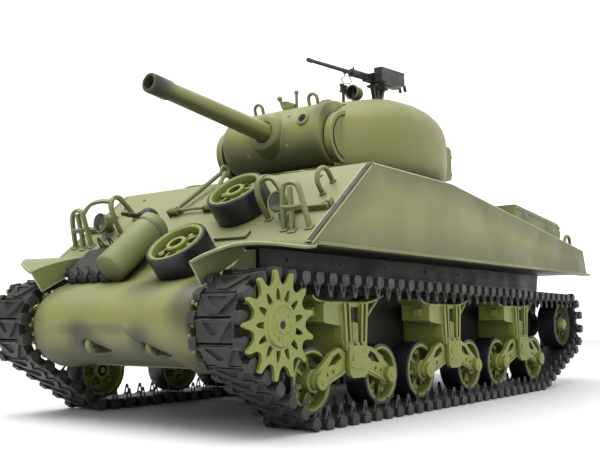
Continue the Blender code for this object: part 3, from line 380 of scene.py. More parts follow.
class Finish:
    """Builds one node material. Colours are linear, lengths in metres of the object's own space."""

    def __init__(self, name, roughness, metallic=0.0, coat=0.0):
        self.material = bpy.data.materials.new(name)
        self.material.use_nodes = True
        self.tree = self.material.node_tree
        self.shader = self.tree.nodes["Principled BSDF"]
        self.shader.inputs["Roughness"].default_value = roughness
        self.shader.inputs["Metallic"].default_value = metallic
        self.shader.inputs["Coat Weight"].default_value = coat
        self.where = self.node("ShaderNodeTexCoord").outputs["Object"]

    def node(self, kind, **values):
        made = self.tree.nodes.new(kind)
        for key, value in values.items():
            setattr(made, key, value)
        return made

    def join(self, source, target):
        self.tree.links.new(source, target)

    def math(self, operation, a, b=0.0):
        made = self.node("ShaderNodeMath", operation=operation)
        for socket, value in zip(made.inputs, (a, b)):
            if isinstance(value, (int, float)):
                socket.default_value = value
            else:
                self.join(value, socket)
        return made.outputs[0]

    def noise(self, scale, detail=4.0, rough=0.55, squash=(1, 1, 1)):
        mapping = self.node("ShaderNodeMapping")
        mapping.inputs["Scale"].default_value = squash
        self.join(self.where, mapping.inputs["Vector"])
        made = self.node("ShaderNodeTexNoise")
        made.inputs["Scale"].default_value = scale
        made.inputs["Detail"].default_value = detail
        made.inputs["Roughness"].default_value = rough
        self.join(mapping.outputs[0], made.inputs["Vector"])
        return made.outputs["Fac"]

    def ramp(self, value, low, high, out_low=0.0, out_high=1.0):
        """The value stretched from low..high to out_low..out_high, smooth at both ends."""
        made = self.node("ShaderNodeMapRange", interpolation_type="SMOOTHSTEP")
        for key, number in (("From Min", low), ("From Max", high), ("To Min", out_low), ("To Max", out_high)):
            made.inputs[key].default_value = number
        self.join(value, made.inputs["Value"])
        return made.outputs["Result"]

    def axis(self, letter):
        made = self.node("ShaderNodeSeparateXYZ")
        self.join(self.where, made.inputs[0])
        return made.outputs[letter]

    def near(self, centre, inner, outer):
        """1 within the inner distance of a point in mm, 0 beyond the outer one."""
        made = self.node("ShaderNodeVectorMath", operation="DISTANCE")
        self.join(self.where, made.inputs[0])
        made.inputs[1].default_value = Vector(centre) * MM
        return self.ramp(made.outputs["Value"], outer * MM, inner * MM)

    def facing_up(self):
        """Upward part of the surface's own normal."""
        geometry = self.node("ShaderNodeNewGeometry")
        made = self.node("ShaderNodeSeparateXYZ")
        self.join(geometry.outputs["Normal"], made.inputs[0])
        return made.outputs["Z"]

    def crevice(self, distance):
        """1 in the open, falling to 0 in corners."""
        made = self.node("ShaderNodeAmbientOcclusion", samples=6)
        made.inputs["Distance"].default_value = distance * MM
        return made.outputs["AO"]

    def edge(self, radius):
        """About 1 along sharp edges, 0 on flat stretches."""
        rounded = self.node("ShaderNodeBevel", samples=4)
        rounded.inputs["Radius"].default_value = radius * MM
        geometry = self.node("ShaderNodeNewGeometry")
        dot = self.node("ShaderNodeVectorMath", operation="DOT_PRODUCT")
        self.join(rounded.outputs[0], dot.inputs[0])
        self.join(geometry.outputs["Normal"], dot.inputs[1])
        return self.ramp(dot.outputs["Value"], 0.995, 0.90)

    def mix(self, factor, first, second):
        made = self.node("ShaderNodeMix", data_type="RGBA")
        self.join(factor, made.inputs["Factor"])
        for index, value in ((6, first), (7, second)):
            if isinstance(value, tuple):
                made.inputs[index].default_value = (*value, 1.0)
            else:
                self.join(value, made.inputs[index])
        return made.outputs[2]

    def colour(self, value):
        self.join(value, self.shader.inputs["Base Color"])

    def roughness(self, value):
        self.join(value, self.shader.inputs["Roughness"])

    def bump(self, height, strength, distance):
        made = self.node("ShaderNodeBump")
        made.inputs["Strength"].default_value = strength
        made.inputs["Distance"].default_value = distance * MM
        self.join(height, made.inputs["Height"])
        self.join(made.outputs[0], self.shader.inputs["Normal"])


PAINT_ROUGHNESS = 0.5
OLIVE = (0.205, 0.215, 0.068)
OLIVE_YELLOW = (0.240, 0.242, 0.070)
OLIVE_PALE = (0.40, 0.42, 0.25)
SMOKE = (0.075, 0.074, 0.056)
# colour of the painted shade under parts, in corners and at the shade rows
SHADE_TONE = (0.032, 0.031, 0.020)
# near black of the painted shade under the hull
UNDERSIDE_SHADE = (0.016, 0.018, 0.010)
GEAR_GREEN = (0.205, 0.235, 0.040)
GEAR_YELLOW = (0.255, 0.270, 0.050)
GEAR_PALE = (0.44, 0.48, 0.21)


def paint(name, base, second, pale, shade_tone=SHADE_TONE, patches=0.5, underside=0.6, cast=0.25, top_highlight=0.2, shade=()):
    """Satin paint over plastic: mottled, pale where worn on edges, sooty in patches, with a painted highlight
    on upward faces and painted shade underneath and in corners.

    The shade rows are places in mm given painted shade and painted shadow: (centre, inner, outer, amount).
    """
    f = Finish(name, PAINT_ROUGHNESS)
    colour = f.mix(f.ramp(f.noise(22, 3), 0.35, 0.68), base, second)
    # painted highlight on faces turned upwards
    top_highlight_mask = f.math("MULTIPLY", f.ramp(f.facing_up(), 0.15, 0.95), top_highlight)
    colour = f.mix(top_highlight_mask, colour, pale)
    grime = f.ramp(f.noise(11, 2, 0.4), 0.46, 0.74, 0.0, patches)
    colour = f.mix(grime, colour, SMOKE)
    # painted shade and painted shadows at the listed places
    for centre, inner, outer, amount in shade:
        colour = f.mix(f.math("MULTIPLY", f.near(centre, inner, outer), amount), colour, shade_tone)
    # painted shade on faces turned downwards
    below = f.ramp(f.facing_up(), -0.02, -0.80, 0.0, underside)
    colour = f.mix(below, colour, shade_tone)
    # painted shade in corners, from an occlusion mask
    corner_shade = f.ramp(f.crevice(7.0), 0.80, 0.20, 0.0, 0.86)
    colour = f.mix(corner_shade, colour, shade_tone)
    worn = f.math("MULTIPLY", f.edge(0.5), f.ramp(f.noise(160, 3), 0.30, 0.62, 0.10, 0.62))
    colour = f.mix(worn, colour, pale)
    f.colour(colour)
    f.roughness(f.ramp(f.noise(60, 4), 0.3, 0.7, PAINT_ROUGHNESS - 0.08, PAINT_ROUGHNESS + 0.12))
    f.bump(f.noise(520, 5, 0.6), cast, 0.25)
    return f.material


def hull_side_paint():
    """The hull's paint, airbrushed dark along the side's lower edge, top edge and ends, with a painted
    highlight on upward faces and painted shade underneath and in corners.
    """
    f = Finish("hull_paint_shaded", PAINT_ROUGHNESS)
    colour = f.mix(f.ramp(f.noise(14, 3), 0.33, 0.68), OLIVE, OLIVE_YELLOW)
    # painted highlight on faces turned upwards
    colour = f.mix(f.math("MULTIPLY", f.ramp(f.facing_up(), 0.15, 0.8), 0.30), colour, OLIVE_PALE)
    z, y = f.axis("Z"), f.axis("Y")
    wobble = f.math("MULTIPLY", f.math("SUBTRACT", f.noise(18, 3), 0.5), 0.012)
    low_edge = f.ramp(f.math("ADD", z, wobble), 0.0925, 0.0755, 0.0, 0.55)
    slope = (REAR_TOP_Z - ROOF_Z) / (REAR_TOP_Y - ROOF_BREAK_Y)
    over = f.math("MULTIPLY", f.math("MAXIMUM", f.math("SUBTRACT", y, ROOF_BREAK_Y * MM), 0.0), slope)
    below_top = f.math("SUBTRACT", f.math("ADD", over, ROOF_Z * MM), z)
    top_edge = f.ramp(f.math("ADD", below_top, wobble), 0.013, 0.001, 0.0, 0.52)
    rear_edge = f.ramp(f.math("ADD", y, wobble), 0.150, 0.178, 0.0, 0.45)
    front = f.math("ADD", f.math("MULTIPLY", f.math("SUBTRACT", z, SPONSON_Z * MM), 1.18), GLACIS_FOOT_Y * MM)
    front_edge = f.ramp(f.math("ADD", f.math("SUBTRACT", y, front), wobble), 0.030, 0.002, 0.0, 0.55)
    side = f.node("ShaderNodeSeparateXYZ")
    f.join(f.node("ShaderNodeNewGeometry").outputs["Normal"], side.inputs[0])
    on_side = f.ramp(f.math("ABSOLUTE", side.outputs["X"]), 0.7, 0.95)
    edges = f.math("MAXIMUM", f.math("MAXIMUM", low_edge, top_edge), f.math("MAXIMUM", rear_edge, front_edge))
    colour = f.mix(f.math("MULTIPLY", edges, on_side), colour, (0.088, 0.078, 0.040))
    streak = f.ramp(f.noise(55, 3, 0.6, (1, 1.4, 0.09)), 0.60, 0.80, 0.0, 0.16)
    colour = f.mix(f.math("MULTIPLY", streak, on_side), colour, (0.34, 0.37, 0.24))
    grime = f.ramp(f.noise(10, 2, 0.4), 0.55, 0.80, 0.0, 0.42)
    colour = f.mix(grime, colour, SMOKE)
    # painted shade on faces turned downwards
    colour = f.mix(f.ramp(f.facing_up(), -0.2, -0.8, 0.0, 0.94), colour, UNDERSIDE_SHADE)
    # painted shade in corners, from an occlusion mask
    corner_shade = f.ramp(f.crevice(7.0), 0.78, 0.20, 0.0, 0.82)
    colour = f.mix(corner_shade, colour, SHADE_TONE)
    worn = f.math("MULTIPLY", f.edge(0.5), f.ramp(f.noise(150, 3), 0.3, 0.6, 0.15, 0.7))
    colour = f.mix(worn, colour, (0.44, 0.46, 0.27))
    f.colour(colour)
    f.roughness(f.ramp(f.noise(45, 4), 0.3, 0.7, 0.40, 0.58))
    f.bump(f.noise(600, 5, 0.6), 0.18, 0.2)
    return f.material


def barrel_paint():
    """Green barrel, paler on top as a painted highlight, darker below as painted shade, and blackened with
    soot at the muzzle.
    """
    f = Finish("barrel_paint_sooty_muzzle_shaded_below", 0.42)
    colour = f.mix(f.ramp(f.noise(30, 3), 0.35, 0.65), OLIVE, OLIVE_YELLOW)
    # painted highlight on faces turned upwards
    colour = f.mix(f.ramp(f.facing_up(), 0.1, 0.9, 0.0, 0.30), colour, OLIVE_PALE)
    # painted shade on faces turned downwards
    colour = f.mix(f.ramp(f.facing_up(), -0.05, -0.8, 0.0, 0.82), colour, (0.028, 0.030, 0.018))
    reach = f.math("ADD", f.axis("Y"), f.math("MULTIPLY", f.noise(90, 3), 0.006))
    colour = f.mix(f.ramp(reach, -0.137, -0.1505, 0.0, 0.93), colour, (0.024, 0.026, 0.020))
    worn = f.math("MULTIPLY", f.edge(0.4), 0.5)
    colour = f.mix(worn, colour, (0.26, 0.28, 0.18))
    f.colour(colour)
    f.roughness(f.ramp(f.noise(70, 4), 0.3, 0.7, 0.36, 0.55))
    f.bump(f.noise(700, 4, 0.6), 0.15, 0.15)
    return f.material


def track_rubber():
    """Dark moulded track: dusty grey on the raised edges, near black with painted shade in the recesses."""
    f = Finish("track_rubber_dusty", 0.6)
    colour = f.mix(f.ramp(f.noise(120, 4), 0.3, 0.7), (0.014, 0.014, 0.013), (0.030, 0.029, 0.026))
    # painted shade in the recesses, from an occlusion mask
    colour = f.mix(f.ramp(f.crevice(3.5), 0.86, 0.30), colour, (0.006, 0.006, 0.006))
    worn = f.math("MULTIPLY", f.edge(0.42), f.ramp(f.noise(210, 3), 0.3, 0.6, 0.22, 0.85))
    colour = f.mix(worn, colour, (0.125, 0.123, 0.112))
    f.colour(colour)
    f.roughness(f.ramp(f.noise(140, 4), 0.3, 0.7, 0.44, 0.68))
    f.bump(f.noise(900, 5, 0.6), 0.3, 0.2)
    return f.material


def tyre_rubber():
    """Blue-black rubber with fine turned grooves across the tread."""
    f = Finish("tyre_rubber_grooved", 0.36)
    colour = f.mix(f.ramp(f.noise(90, 4), 0.3, 0.7), (0.007, 0.008, 0.011), (0.015, 0.016, 0.021))
    # painted shade in corners, from an occlusion mask
    colour = f.mix(f.ramp(f.crevice(8.0), 0.80, 0.25), colour, (0.005, 0.005, 0.006))
    colour = f.mix(f.math("MULTIPLY", f.edge(0.5), 0.4), colour, (0.15, 0.15, 0.17))
    f.colour(colour)
    f.roughness(f.ramp(f.noise(80, 4), 0.3, 0.7, 0.30, 0.48))
    grooves = f.node("ShaderNodeTexWave", wave_type="BANDS", bands_direction="X")
    grooves.inputs["Scale"].default_value = 520
    grooves.inputs["Distortion"].default_value = 0.6
    f.join(f.where, grooves.inputs["Vector"])
    f.bump(grooves.outputs["Fac"], 0.12, 0.15)
    return f.material


def plain(name, first, second, roughness, metallic=0.0, scale=120, pale=None, coat=0.0, bump=0.2):
    """A small part's finish: two close colours, worn edges and a fine grain."""
    f = Finish(name, roughness, metallic, coat)
    colour = f.mix(f.ramp(f.noise(scale, 4), 0.3, 0.7), first, second)
    if pale is not None:
        colour = f.mix(f.math("MULTIPLY", f.edge(0.3), 0.6), colour, pale)
    f.colour(colour)
    f.roughness(f.ramp(f.noise(scale * 0.7, 4), 0.3, 0.7, max(0.02, roughness - 0.08), roughness + 0.1))
    f.bump(f.noise(scale * 6, 4, 0.6), bump, 0.12)
    return f.material


# painted shade and painted shadow on the nose: the lug hollows, its ends by the tracks and the spare wheel's
# shadow
NOSE_SHADE = (
    ((-15, -180, 35), 4, 14, 0.82), ((23, -180, 35), 3, 12, 0.82), ((50, -178, 50), 5, 16, 0.72),
    ((50, -168, 60), 5, 16, 0.66), ((-47, -170, 60), 4, 20, 0.55), ((-49, -178, 40), 4, 16, 0.62),
    ((18, -168, 62), 5, 20, 0.60), ((-5, -176, 32), 2, 8, 0.90), ((33, -176, 32), 2, 8, 0.90),
)
# painted shade on the shield's lower part and in the recesses beside its ends
SHIELD_SHADE = (
    ((0, -76, 128), 6, 26, 0.55), ((26, -74, 126), 4, 18, 0.55), ((-28, -74, 128), 4, 20, 0.62),
    ((35, -70, 152), 2, 11, 0.60), ((-34, -66, 152), 2, 12, 0.55),
)
HULL = hull_side_paint()
CAST = paint("cast_green", OLIVE, OLIVE_YELLOW, OLIVE_PALE, patches=0.55, underside=0.88, cast=0.4, top_highlight=0.25)
NOSE = paint(
    "nose_green", OLIVE, OLIVE_YELLOW, OLIVE_PALE, patches=0.30, underside=0.80, top_highlight=0.12, shade=NOSE_SHADE
)
SHIELD = paint(
    "shield_green", OLIVE, OLIVE_YELLOW, OLIVE_PALE, patches=0.55, underside=0.92, top_highlight=0.2,
    shade=SHIELD_SHADE
)
FITTING = paint("fitting_green", OLIVE, (0.185, 0.21, 0.072), OLIVE_PALE, patches=0.30, underside=0.62)
GEAR = paint(
    "gear_green", GEAR_GREEN, GEAR_YELLOW, GEAR_PALE, shade_tone=(0.030, 0.033, 0.010), patches=0.22,
    underside=0.62, top_highlight=0.1,
)
# a darker copy of the gear paint, as painted shade for the idlers that sit in shadow
GEAR_IN_SHADE = paint(
    "gear_green_painted_shade", (0.085, 0.098, 0.020), (0.060, 0.068, 0.018), (0.20, 0.22, 0.09),
    shade_tone=(0.010, 0.011, 0.005),
    patches=0.5, underside=0.7, top_highlight=0.0,
)
# a near-black copy of the green, as painted shade on the lower hull that sits in shadow
TUB_IN_SHADE = paint(
    "tub_green_painted_shade", (0.013, 0.015, 0.007), (0.008, 0.009, 0.005), (0.020, 0.023, 0.012),
    shade_tone=(0.003, 0.003, 0.002),
    patches=0.3, underside=0.8, top_highlight=0.0,
)
BARREL = barrel_paint()
TRACK = track_rubber()
TYRE = tyre_rubber()
GUNMETAL = plain(
    "gun_metal_brown", (0.022, 0.019, 0.018), (0.046, 0.038, 0.033), 0.42, 0.3, 160, (0.14, 0.125, 0.11)
)
# near black: painted shade in bores and hollows, and the dark of scribed seams
HOLLOW_SHADE_AND_SEAM = plain("hollow_shade_and_seam_dark", (0.004, 0.004, 0.004), (0.009, 0.009, 0.008), 0.75, bump=0.1)
SEAM = plain(
    "weld_seam", (0.050, 0.048, 0.030), (0.085, 0.080, 0.050), 0.6, scale=260, pale=(0.26, 0.27, 0.18),
    bump=0.6
)
BRIGHT_EDGE = plain(
    "bright_edge", (0.36, 0.39, 0.22), (0.47, 0.50, 0.31), 0.5, scale=200, pale=(0.6, 0.64, 0.44)
)
SPRING = plain(
    "spring_dark", (0.016, 0.015, 0.011), (0.042, 0.040, 0.030), 0.45, 0.4, 200, (0.20, 0.19, 0.15)
)
LENS = plain("lamp_lens", (0.030, 0.038, 0.022), (0.050, 0.060, 0.036), 0.10, scale=60, coat=1.0, bump=0.05)
TAIL_RED = plain("tail_lens", (0.16, 0.012, 0.010), (0.22, 0.020, 0.014), 0.2, scale=80, coat=0.8, bump=0.05)
WRAP = plain("battery_wrap_blue", (0.02, 0.07, 0.25), (0.03, 0.10, 0.33), 0.3, scale=50, coat=0.4)
BOARD = plain("circuit_board_green", (0.015, 0.13, 0.045), (0.02, 0.18, 0.06), 0.4, scale=240)
ALLOY = plain("gearbox_alloy", (0.36, 0.36, 0.34), (0.50, 0.50, 0.48), 0.38, 0.9, 130)


# ---------------------------------------------------------------- hull

def hull_outline():
    return [
        (GLACIS_FOOT_Y, SPONSON_Z), (REAR_FOOT_Y, SPONSON_Z), (REAR_TOP_Y, REAR_TOP_Z),
        (ROOF_BREAK_Y, ROOF_Z), (GLACIS_TOP_Y, ROOF_Z),
    ]


def hull_shell():
    """Smooth armour box of the upper hull, with the turret ring's collar and a socket for the bow gun."""
    wall = HALF_WIDTH - 0.5
    bm = prism(hull_outline(), "X", -wall, wall)
    socket = joint("bow_gun_swivel")
    bm = carved(bm, ball(socket, 5.6, 28))
    put(bm, lathe(
        [
            (98, 0), (98, 57), (TURRET_CENTRE.z - 1.6, 57), (TURRET_CENTRE.z - 1.2, 56.4),
            (TURRET_CENTRE.z - 1.2, 0)
        ],
        96, (0, 0, 1), (0, TURRET_CENTRE.y, 0),
    ))
    piece("hull_shell", bm, HULL, "hull", "upper_hull", bevel=0.45)


def hull_trim():
    """Rails along the lower edge, and weld strips with pale edges that straddle the glacis corners."""
    rails = bmesh.new()
    strips = bmesh.new()
    lines = bmesh.new()
    inner = HALF_WIDTH - 6.0
    back = Vector((0, math.sin(GLACIS_ANGLE), -math.cos(GLACIS_ANGLE)))
    length = (ROOF_Z - SPONSON_Z) / math.sin(GLACIS_ANGLE)
    foot, top = on_glacis(0, 1.0, 0), on_glacis(0, length - 0.6, 0)
    for side in (-1, 1):
        low, high = sorted((side * inner, side * HALF_WIDTH))
        put(rails, block(
            (low, GLACIS_FOOT_Y + 6, SPONSON_Z - 0.8), (high, HALF_LENGTH - 0.2, SPONSON_Z + 0.8)
        ))
        outer = side * (HALF_WIDTH - 0.4)
        strip = [foot - back * 0.22, foot + back * 1.4, top + back * 1.4, top - back * 0.22]
        put(strips, prism([(p.y, p.z) for p in strip], "X", *sorted((side * (HALF_WIDTH - 2.2), outer))))
        side_line = [foot + back * 1.55, top + back * 1.55]
        put(lines, tube([(outer, p.y, p.z) for p in side_line], 0.28, 6))
        flat_line = [on_glacis(side * (HALF_WIDTH - 2.4), along, 0.2) for along in (1.0, length - 0.8)]
        put(lines, tube(flat_line, 0.28, 6))
        edge = [(outer, GLACIS_TOP_Y + 1.6, ROOF_Z - 0.3), (outer, ROOF_BREAK_Y, ROOF_Z - 0.3)]
        edge.append((outer, REAR_TOP_Y - 0.6, REAR_TOP_Z - 0.1))
        put(lines, tube(edge, 0.30, 6))
    piece("hull_rails", rails, FITTING, "hull", bevel=0.25)
    piece("glacis_corner_strips", strips, SEAM, "hull", bevel=0.12)
    piece("hull_edge_lines", lines, BRIGHT_EDGE, "hull")


def hull_fittings():
    """Drivers' hatches, splash strips, vent domes, welds and bolts on the roof and front plate."""
    bm = bmesh.new()
    for side in (-1, 1):
        put(bm, prism(
            arc((side * 33, -84), 12.5, 0, 360, 25)[:-1], "Z", ROOF_Z - 0.2, ROOF_Z + 1.6,
        ))
        put(bm, lathe(
            [(0, 0), (0, 3.0), (1.6, 2.7), (2.2, 1.5), (2.3, 0)], 20, (0, 0, 1),
            (side * 33, -86, ROOF_Z + 1.4)
        ))
        put(bm, block((side * 33 - 6, -72.5, ROOF_Z), (side * 33 + 6, -70.0, ROOF_Z + 2.2)))
        for dx in (-4, 4):
            put(bm, rod(
                (side * 33 + dx - 2, -71.2, ROOF_Z + 2.0), (side * 33 + dx + 2, -71.2, ROOF_Z + 2.0), 1.1, 10
            ))
    put(bm, lathe([(0, 0), (0, 6.0), (1.0, 5.6), (2.0, 3.8), (2.5, 0)], 24, (0, 0, 1), (0, -88, ROOF_Z)))
    for x in (-66, 66):
        put(bm, lathe([(0, 0), (0, 4.4), (0.9, 4.0), (1.6, 2.2), (1.9, 0)], 20, (0, 0, 1), (x, -58, ROOF_Z)))
    piece("roof_hatches", bm, FITTING, "hull", bevel=0.3)

    ledges = bmesh.new()
    put(ledges, block((-0.5, 0, 0), (18.0, 4.8, 1.4)), glacis_frame(26.5, 5.6))
    put(ledges, block((0, 0, 0), (2.2, 3.4, 3.4)), glacis_frame(77.0, 24.5))
    for x, along in ((-60, 52), (-20, 54), (20, 54), (58, 53)):
        put(ledges, bolt(1.0, 0.7), glacis_frame(x, along))
    put(ledges, lathe([
        (-1.0, 0), (-1.0, 10.5), (0.4, 10.0), (2.0, 8.0), (2.8, 6.0), (2.8, 0)
    ], 36), Matrix.Translation(
        joint("bow_gun_swivel")) @ Matrix.Rotation(
            GLACIS_ANGLE, 4, "X"
        ) @ Matrix.Rotation(-math.pi / 2, 4, "Y")
        @ Matrix.Translation((-4.0, 0, 0)))
    piece("glacis_ledges", ledges, FITTING, "hull", bevel=0.3)


def along_line(points, share):
    """A point part of the way along a list of points, by their order."""
    place = share * (len(points) - 1)
    index = min(int(place), len(points) - 2)
    return [a + (b - a) * (place - index) for a, b in zip(points[index], points[index + 1])]


FENDER_EDGE = [
    (51.6, -181.0, 66.5), (57.5, -180.0, 69.0), (63.0, -178.0, 71.0), (67.0, -174.2, 72.8),
    (70.0, -170.0, 73.6),
    (72.6, -165.0, 73.9), (75.4, -159.0, 73.8), (78.2, -152.4, 73.4), (80.4, -146.6, 73.1),
    (81.6, -141.0, 73.6),
]


def fenders():
    """A drooping plate over each track front, rounded in plan, with a rolled edge and an inner flap."""
    columns, rows, thick, rear = 36, 12, 1.1, (-136.8, 75.9)
    plate, edge = bmesh.new(), bmesh.new()
    for side in (-1, 1):
        bm = bmesh.new()
        sheets = []
        for lower in (0.0, thick):
            sheet = []
            for i in range(columns + 1):
                x, y, z = along_line(FENDER_EDGE, i / columns)
                column = []
                for k in range(rows + 1):
                    t = k / rows
                    height = z + (rear[1] - z) * (1 - (1 - t) ** 2.0)
                    column.append(bm.verts.new((side * x, y + (rear[0] - y) * t, height - lower)))
                sheet.append(column)
            sheets.append(sheet)
        for sheet in sheets:
            for left, right in zip(sheet, sheet[1:]):
                bridge(bm, left, right)
        upper, lower = sheets
        rims = [
            ([c[0] for c in upper], [c[0] for c in lower]), ([c[-1] for c in upper], [c[-1] for c in lower]),
            (upper[0], lower[0]), (upper[-1], lower[-1]),
        ]
        for above, below in rims:
            bridge(bm, above, below)
        put(plate, bm)
        put(plate, tube([(side * (x - 0.3), y + 0.3, z - 0.45) for x, y, z in FENDER_EDGE], 0.62, 8))
        flap = [
            (-180.9, 66.4), (-174.4, 57.6), (-149.8, 71.0), (-149.8, 74.6), (-158.0, 73.6), (-168.0, 71.2),
            (-176.0, 68.6)
        ]
        put(plate, prism(flap, "X", *sorted((side * 51.0, side * 51.9))))
        x = side * 51.2
        put(edge, tube([(x, -180.8, 66.4), (x, -174.4, 57.7), (x, -149.9, 70.9)], 0.30, 6))
        put(edge, tube([(side * (x - 0.1), y + 0.1, z + 0.05) for x, y, z in FENDER_EDGE], 0.26, 6))
    piece("front_fenders", plate, FITTING, "hull", bevel=0.15)
    piece("fender_edges", edge, BRIGHT_EDGE, "hull")


NOSE_Y, NOSE_Z = SPROCKET[1], SPROCKET[2]    # the cast nose is concentric with the sprockets
NOSE_RADIUS, NOSE_REACH = 20.2, 49.6
NOSE_TO_GLACIS = 13.9                        # from that axis to the front plate's underside
TOW_LUG_X = (-12.0, 26.0)
TOW_LUG_DEGREES = 212.0                      # from +Y over the top


def smooth(value):
    value = min(max(value, 0.0), 1.0)
    return value * value * (3 - 2 * value)


def section_radius(degrees):
    """The nose's section: round in front, a little flatter above and below, running out into the
    front plate behind."""
    rounded_part = NOSE_RADIUS - 1.7 * smooth((168 - degrees) / 58) - 0.9 * smooth((degrees - 205) / 45)
    plate = NOSE_TO_GLACIS / math.cos(math.radians(min(degrees, 130.0) - 90.0) - GLACIS_ANGLE)
    return (rounded_part ** 12 + plate ** 12) ** (1 / 12)


def nose_size(x, degrees):
    """Radius of the cast nose: drawn in low down between its ends, with a teardrop hollow at each tow lug."""
    size = section_radius(degrees)
    over = max(0.0, abs(x) - (NOSE_REACH - 9.0)) / 9.0
    size -= 4.2 * (1 - math.sqrt(max(0.0, 1 - over * over))) * max(0.0, -math.cos(math.radians(degrees)))
    step_x = 16.0 + 24.0 * smooth((degrees - 180) / 58)
    inside = smooth((step_x + 3.0 - x) / 7.0) if x > 0 else smooth((44.0 + x) / 22.0)
    size -= 2.2 * smooth((degrees - 170) / 24) * inside
    for lug_x in TOW_LUG_X:
        away = x - lug_x
        width = 3.9 * (1 - away / 15.0) if away > 0 else 3.9
        across = math.radians(degrees - TOW_LUG_DEGREES) * NOSE_RADIUS - 0.12 * away
        if width > 0.3:
            reach = math.hypot(min(away, 0.0), across * 3.9 / width) / 3.9
            size -= 3.8 * smooth((1.25 - reach) / 0.55) * smooth((14.0 - away) / 3.0)
    return size


def nose():
    """The cast final-drive cover: a barrel across the front that runs out into the front plate, and
    its tow lugs."""
    columns, rows = 190, 104
    bm = bmesh.new()
    grid = []
    for i in range(columns + 1):
        x = NOSE_REACH * (2 * i / columns - 1)
        ring = []
        for k in range(rows + 1):
            degrees = 74 + 204 * k / rows
            angle = math.radians(degrees)
            size = nose_size(x, degrees)
            ring.append(bm.verts.new((x, NOSE_Y + size * math.cos(angle), NOSE_Z + size * math.sin(angle))))
        grid.append(ring)
    for low, high in zip(grid, grid[1:]):
        bridge(bm, low, high)
    cap_ends(bm, grid)
    bm.faces.new([ring[0] for ring in grid] + [ring[-1] for ring in reversed(grid)])
    put(bm, prism([
        (-158.0, 24.2), (-139.8, 24.2), (-139.8, 73.8), (-146.0, 73.4), (-158.0, 62.8)
    ], "X", -49.4, 49.4))
    piece("nose_casting", bm, NOSE, "hull", "final_drive_cover", angle=50)

    lugs = bmesh.new()
    for lug_x in TOW_LUG_X:
        size, angle = NOSE_RADIUS - 4.6, math.radians(TOW_LUG_DEGREES)
        spot = (lug_x, NOSE_Y + size * math.cos(angle), NOSE_Z + size * math.sin(angle))
        put(lugs, lathe([
            (-1.3, 1.3), (-1.3, 3.3), (-0.9, 3.9), (0.0, 4.1), (0.9, 3.9), (1.3, 3.3), (1.3, 1.3),
        ], 28, (1, 0, 0), spot))
    for side in (-1, 1):
        for k in range(7):
            angle = math.radians(128 + 22 * k)
            spot = (side * 49.2, NOSE_Y + 17.2 * math.cos(angle), NOSE_Z + 17.2 * math.sin(angle))
            put(lugs, rod(spot, (side * 50.5, *spot[1:]), 1.15, 6, end_radius=0.95))
    piece("tow_lugs", lugs, FITTING, "hull", bevel=0.12)


def tub_details():
    """Side strips, bolts, idler bosses and the rear plate's doors on the lower hull, whose body is
    the CAD's own."""
    bm = bmesh.new()
    wall = 50.5
    for side in (-1, 1):
        low, high = sorted((side * wall, side * (wall + 0.5)))
        for index in range(7):
            y = -120 + index * 41.0
            put(bm, rod((side * wall, y, 70.5), (side * (wall + 0.5), y, 70.5), 0.7, 8))
        put(bm, block((low, -138, 66.0), (high, 158, 67.2)))
        place = Vector((side * (wall + 0.3), IDLER.y, IDLER.z))
        put(bm, lathe([(0, 0), (0, 8.5), (1.2, 7.6), (1.2, 0)], 28, (side, 0, 0), place))
    for x in (-17, 17):
        put(bm, block((x - 14, 160.8, 46.0), (x + 14, 163.6, 66.0)))
        for z in (50, 62):
            put(bm, rod(
                (x + math.copysign(13, x), 163.2, z - 2), (x + math.copysign(13, x), 163.2, z + 2), 1.2, 10
            ))
    put(bm, lathe(
        [(0, 0), (0, 4.4), (1.6, 4.0), (3.4, 2.0), (6.0, 1.6), (6.4, 0)], 20, (0, 1, 0), (0, 157.6, 40.0)
    ))
    # these fittings take the tub's painted shade
    piece("tub_fittings", bm, TUB_IN_SHADE, "hull", bevel=0.15)


# ---------------------------------------------------------------- hull stowage

def strap(points, wide, thick, side):
    """A flat bar through points, its broad way lying along the side direction."""
    bm = bmesh.new()
    points = [Vector(p) for p in points]
    rings = []
    for i, point in enumerate(points):
        run = (points[min(i + 1, len(points) - 1)] - points[max(i - 1, 0)]).normalized()
        broad = (Vector(side) - run * run.dot(Vector(side))).normalized()
        thin = run.cross(broad)
        rings.append([
            bm.verts.new(point + broad * wide / 2 * a + thin * thick / 2 * b) for a,
            b in ((1, 1), (1, -1), (-1, -1), (-1, 1))
        ])
    for low, high in zip(rings, rings[1:]):
        bridge(bm, low, high, ring=True)
    cap_ends(bm, rings)
    return bm


def rounded(points):
    """The points with their corners cut three times over, so that they turn smooth, ends kept."""
    points = [Vector(p) for p in points]
    for _ in range(3):
        middle = [p.lerp(q, t) for p, q in zip(points, points[1:]) for t in (0.25, 0.75)]
        points = [points[0]] + middle[1:-1] + [points[-1]]
    return points


GUARD_BARS = (
    ((
        (63, 10, -0.4), (64.4, 15, 11), (65.6, 18, 16.5), (69.5, 18.8, 17.6), (73.4, 18, 16.5),
        (74.8, 15, 11), (76, 10, -0.4)
    ), (0, 1, 0)),
    (((68.0, 8.5, -0.4), (68.6, 13.5, 8), (69.3, 17.4, 16.0)), (0, 1, 0)),
    (((64.2, 13.6, 8.6), (69.0, 12.4, 8.6), (74.8, 13.6, 8.6)), (0, 0, 1)),
    ((
        (48.6, 19.5, -0.4), (47.8, 20.0, 11), (48.2, 23.5, 17.0), (50.0, 29.5, 17.0), (50.4, 32.8, 9),
        (49.6, 33.2, -0.4)
    ), (1, 0, 0)),
    (((65.2, 17.0, 15.0), (61.0, 21.0, 18.6), (54.5, 24.0, 18.2), (49.0, 25.6, 15.6)), (0, 1, 0)),
)


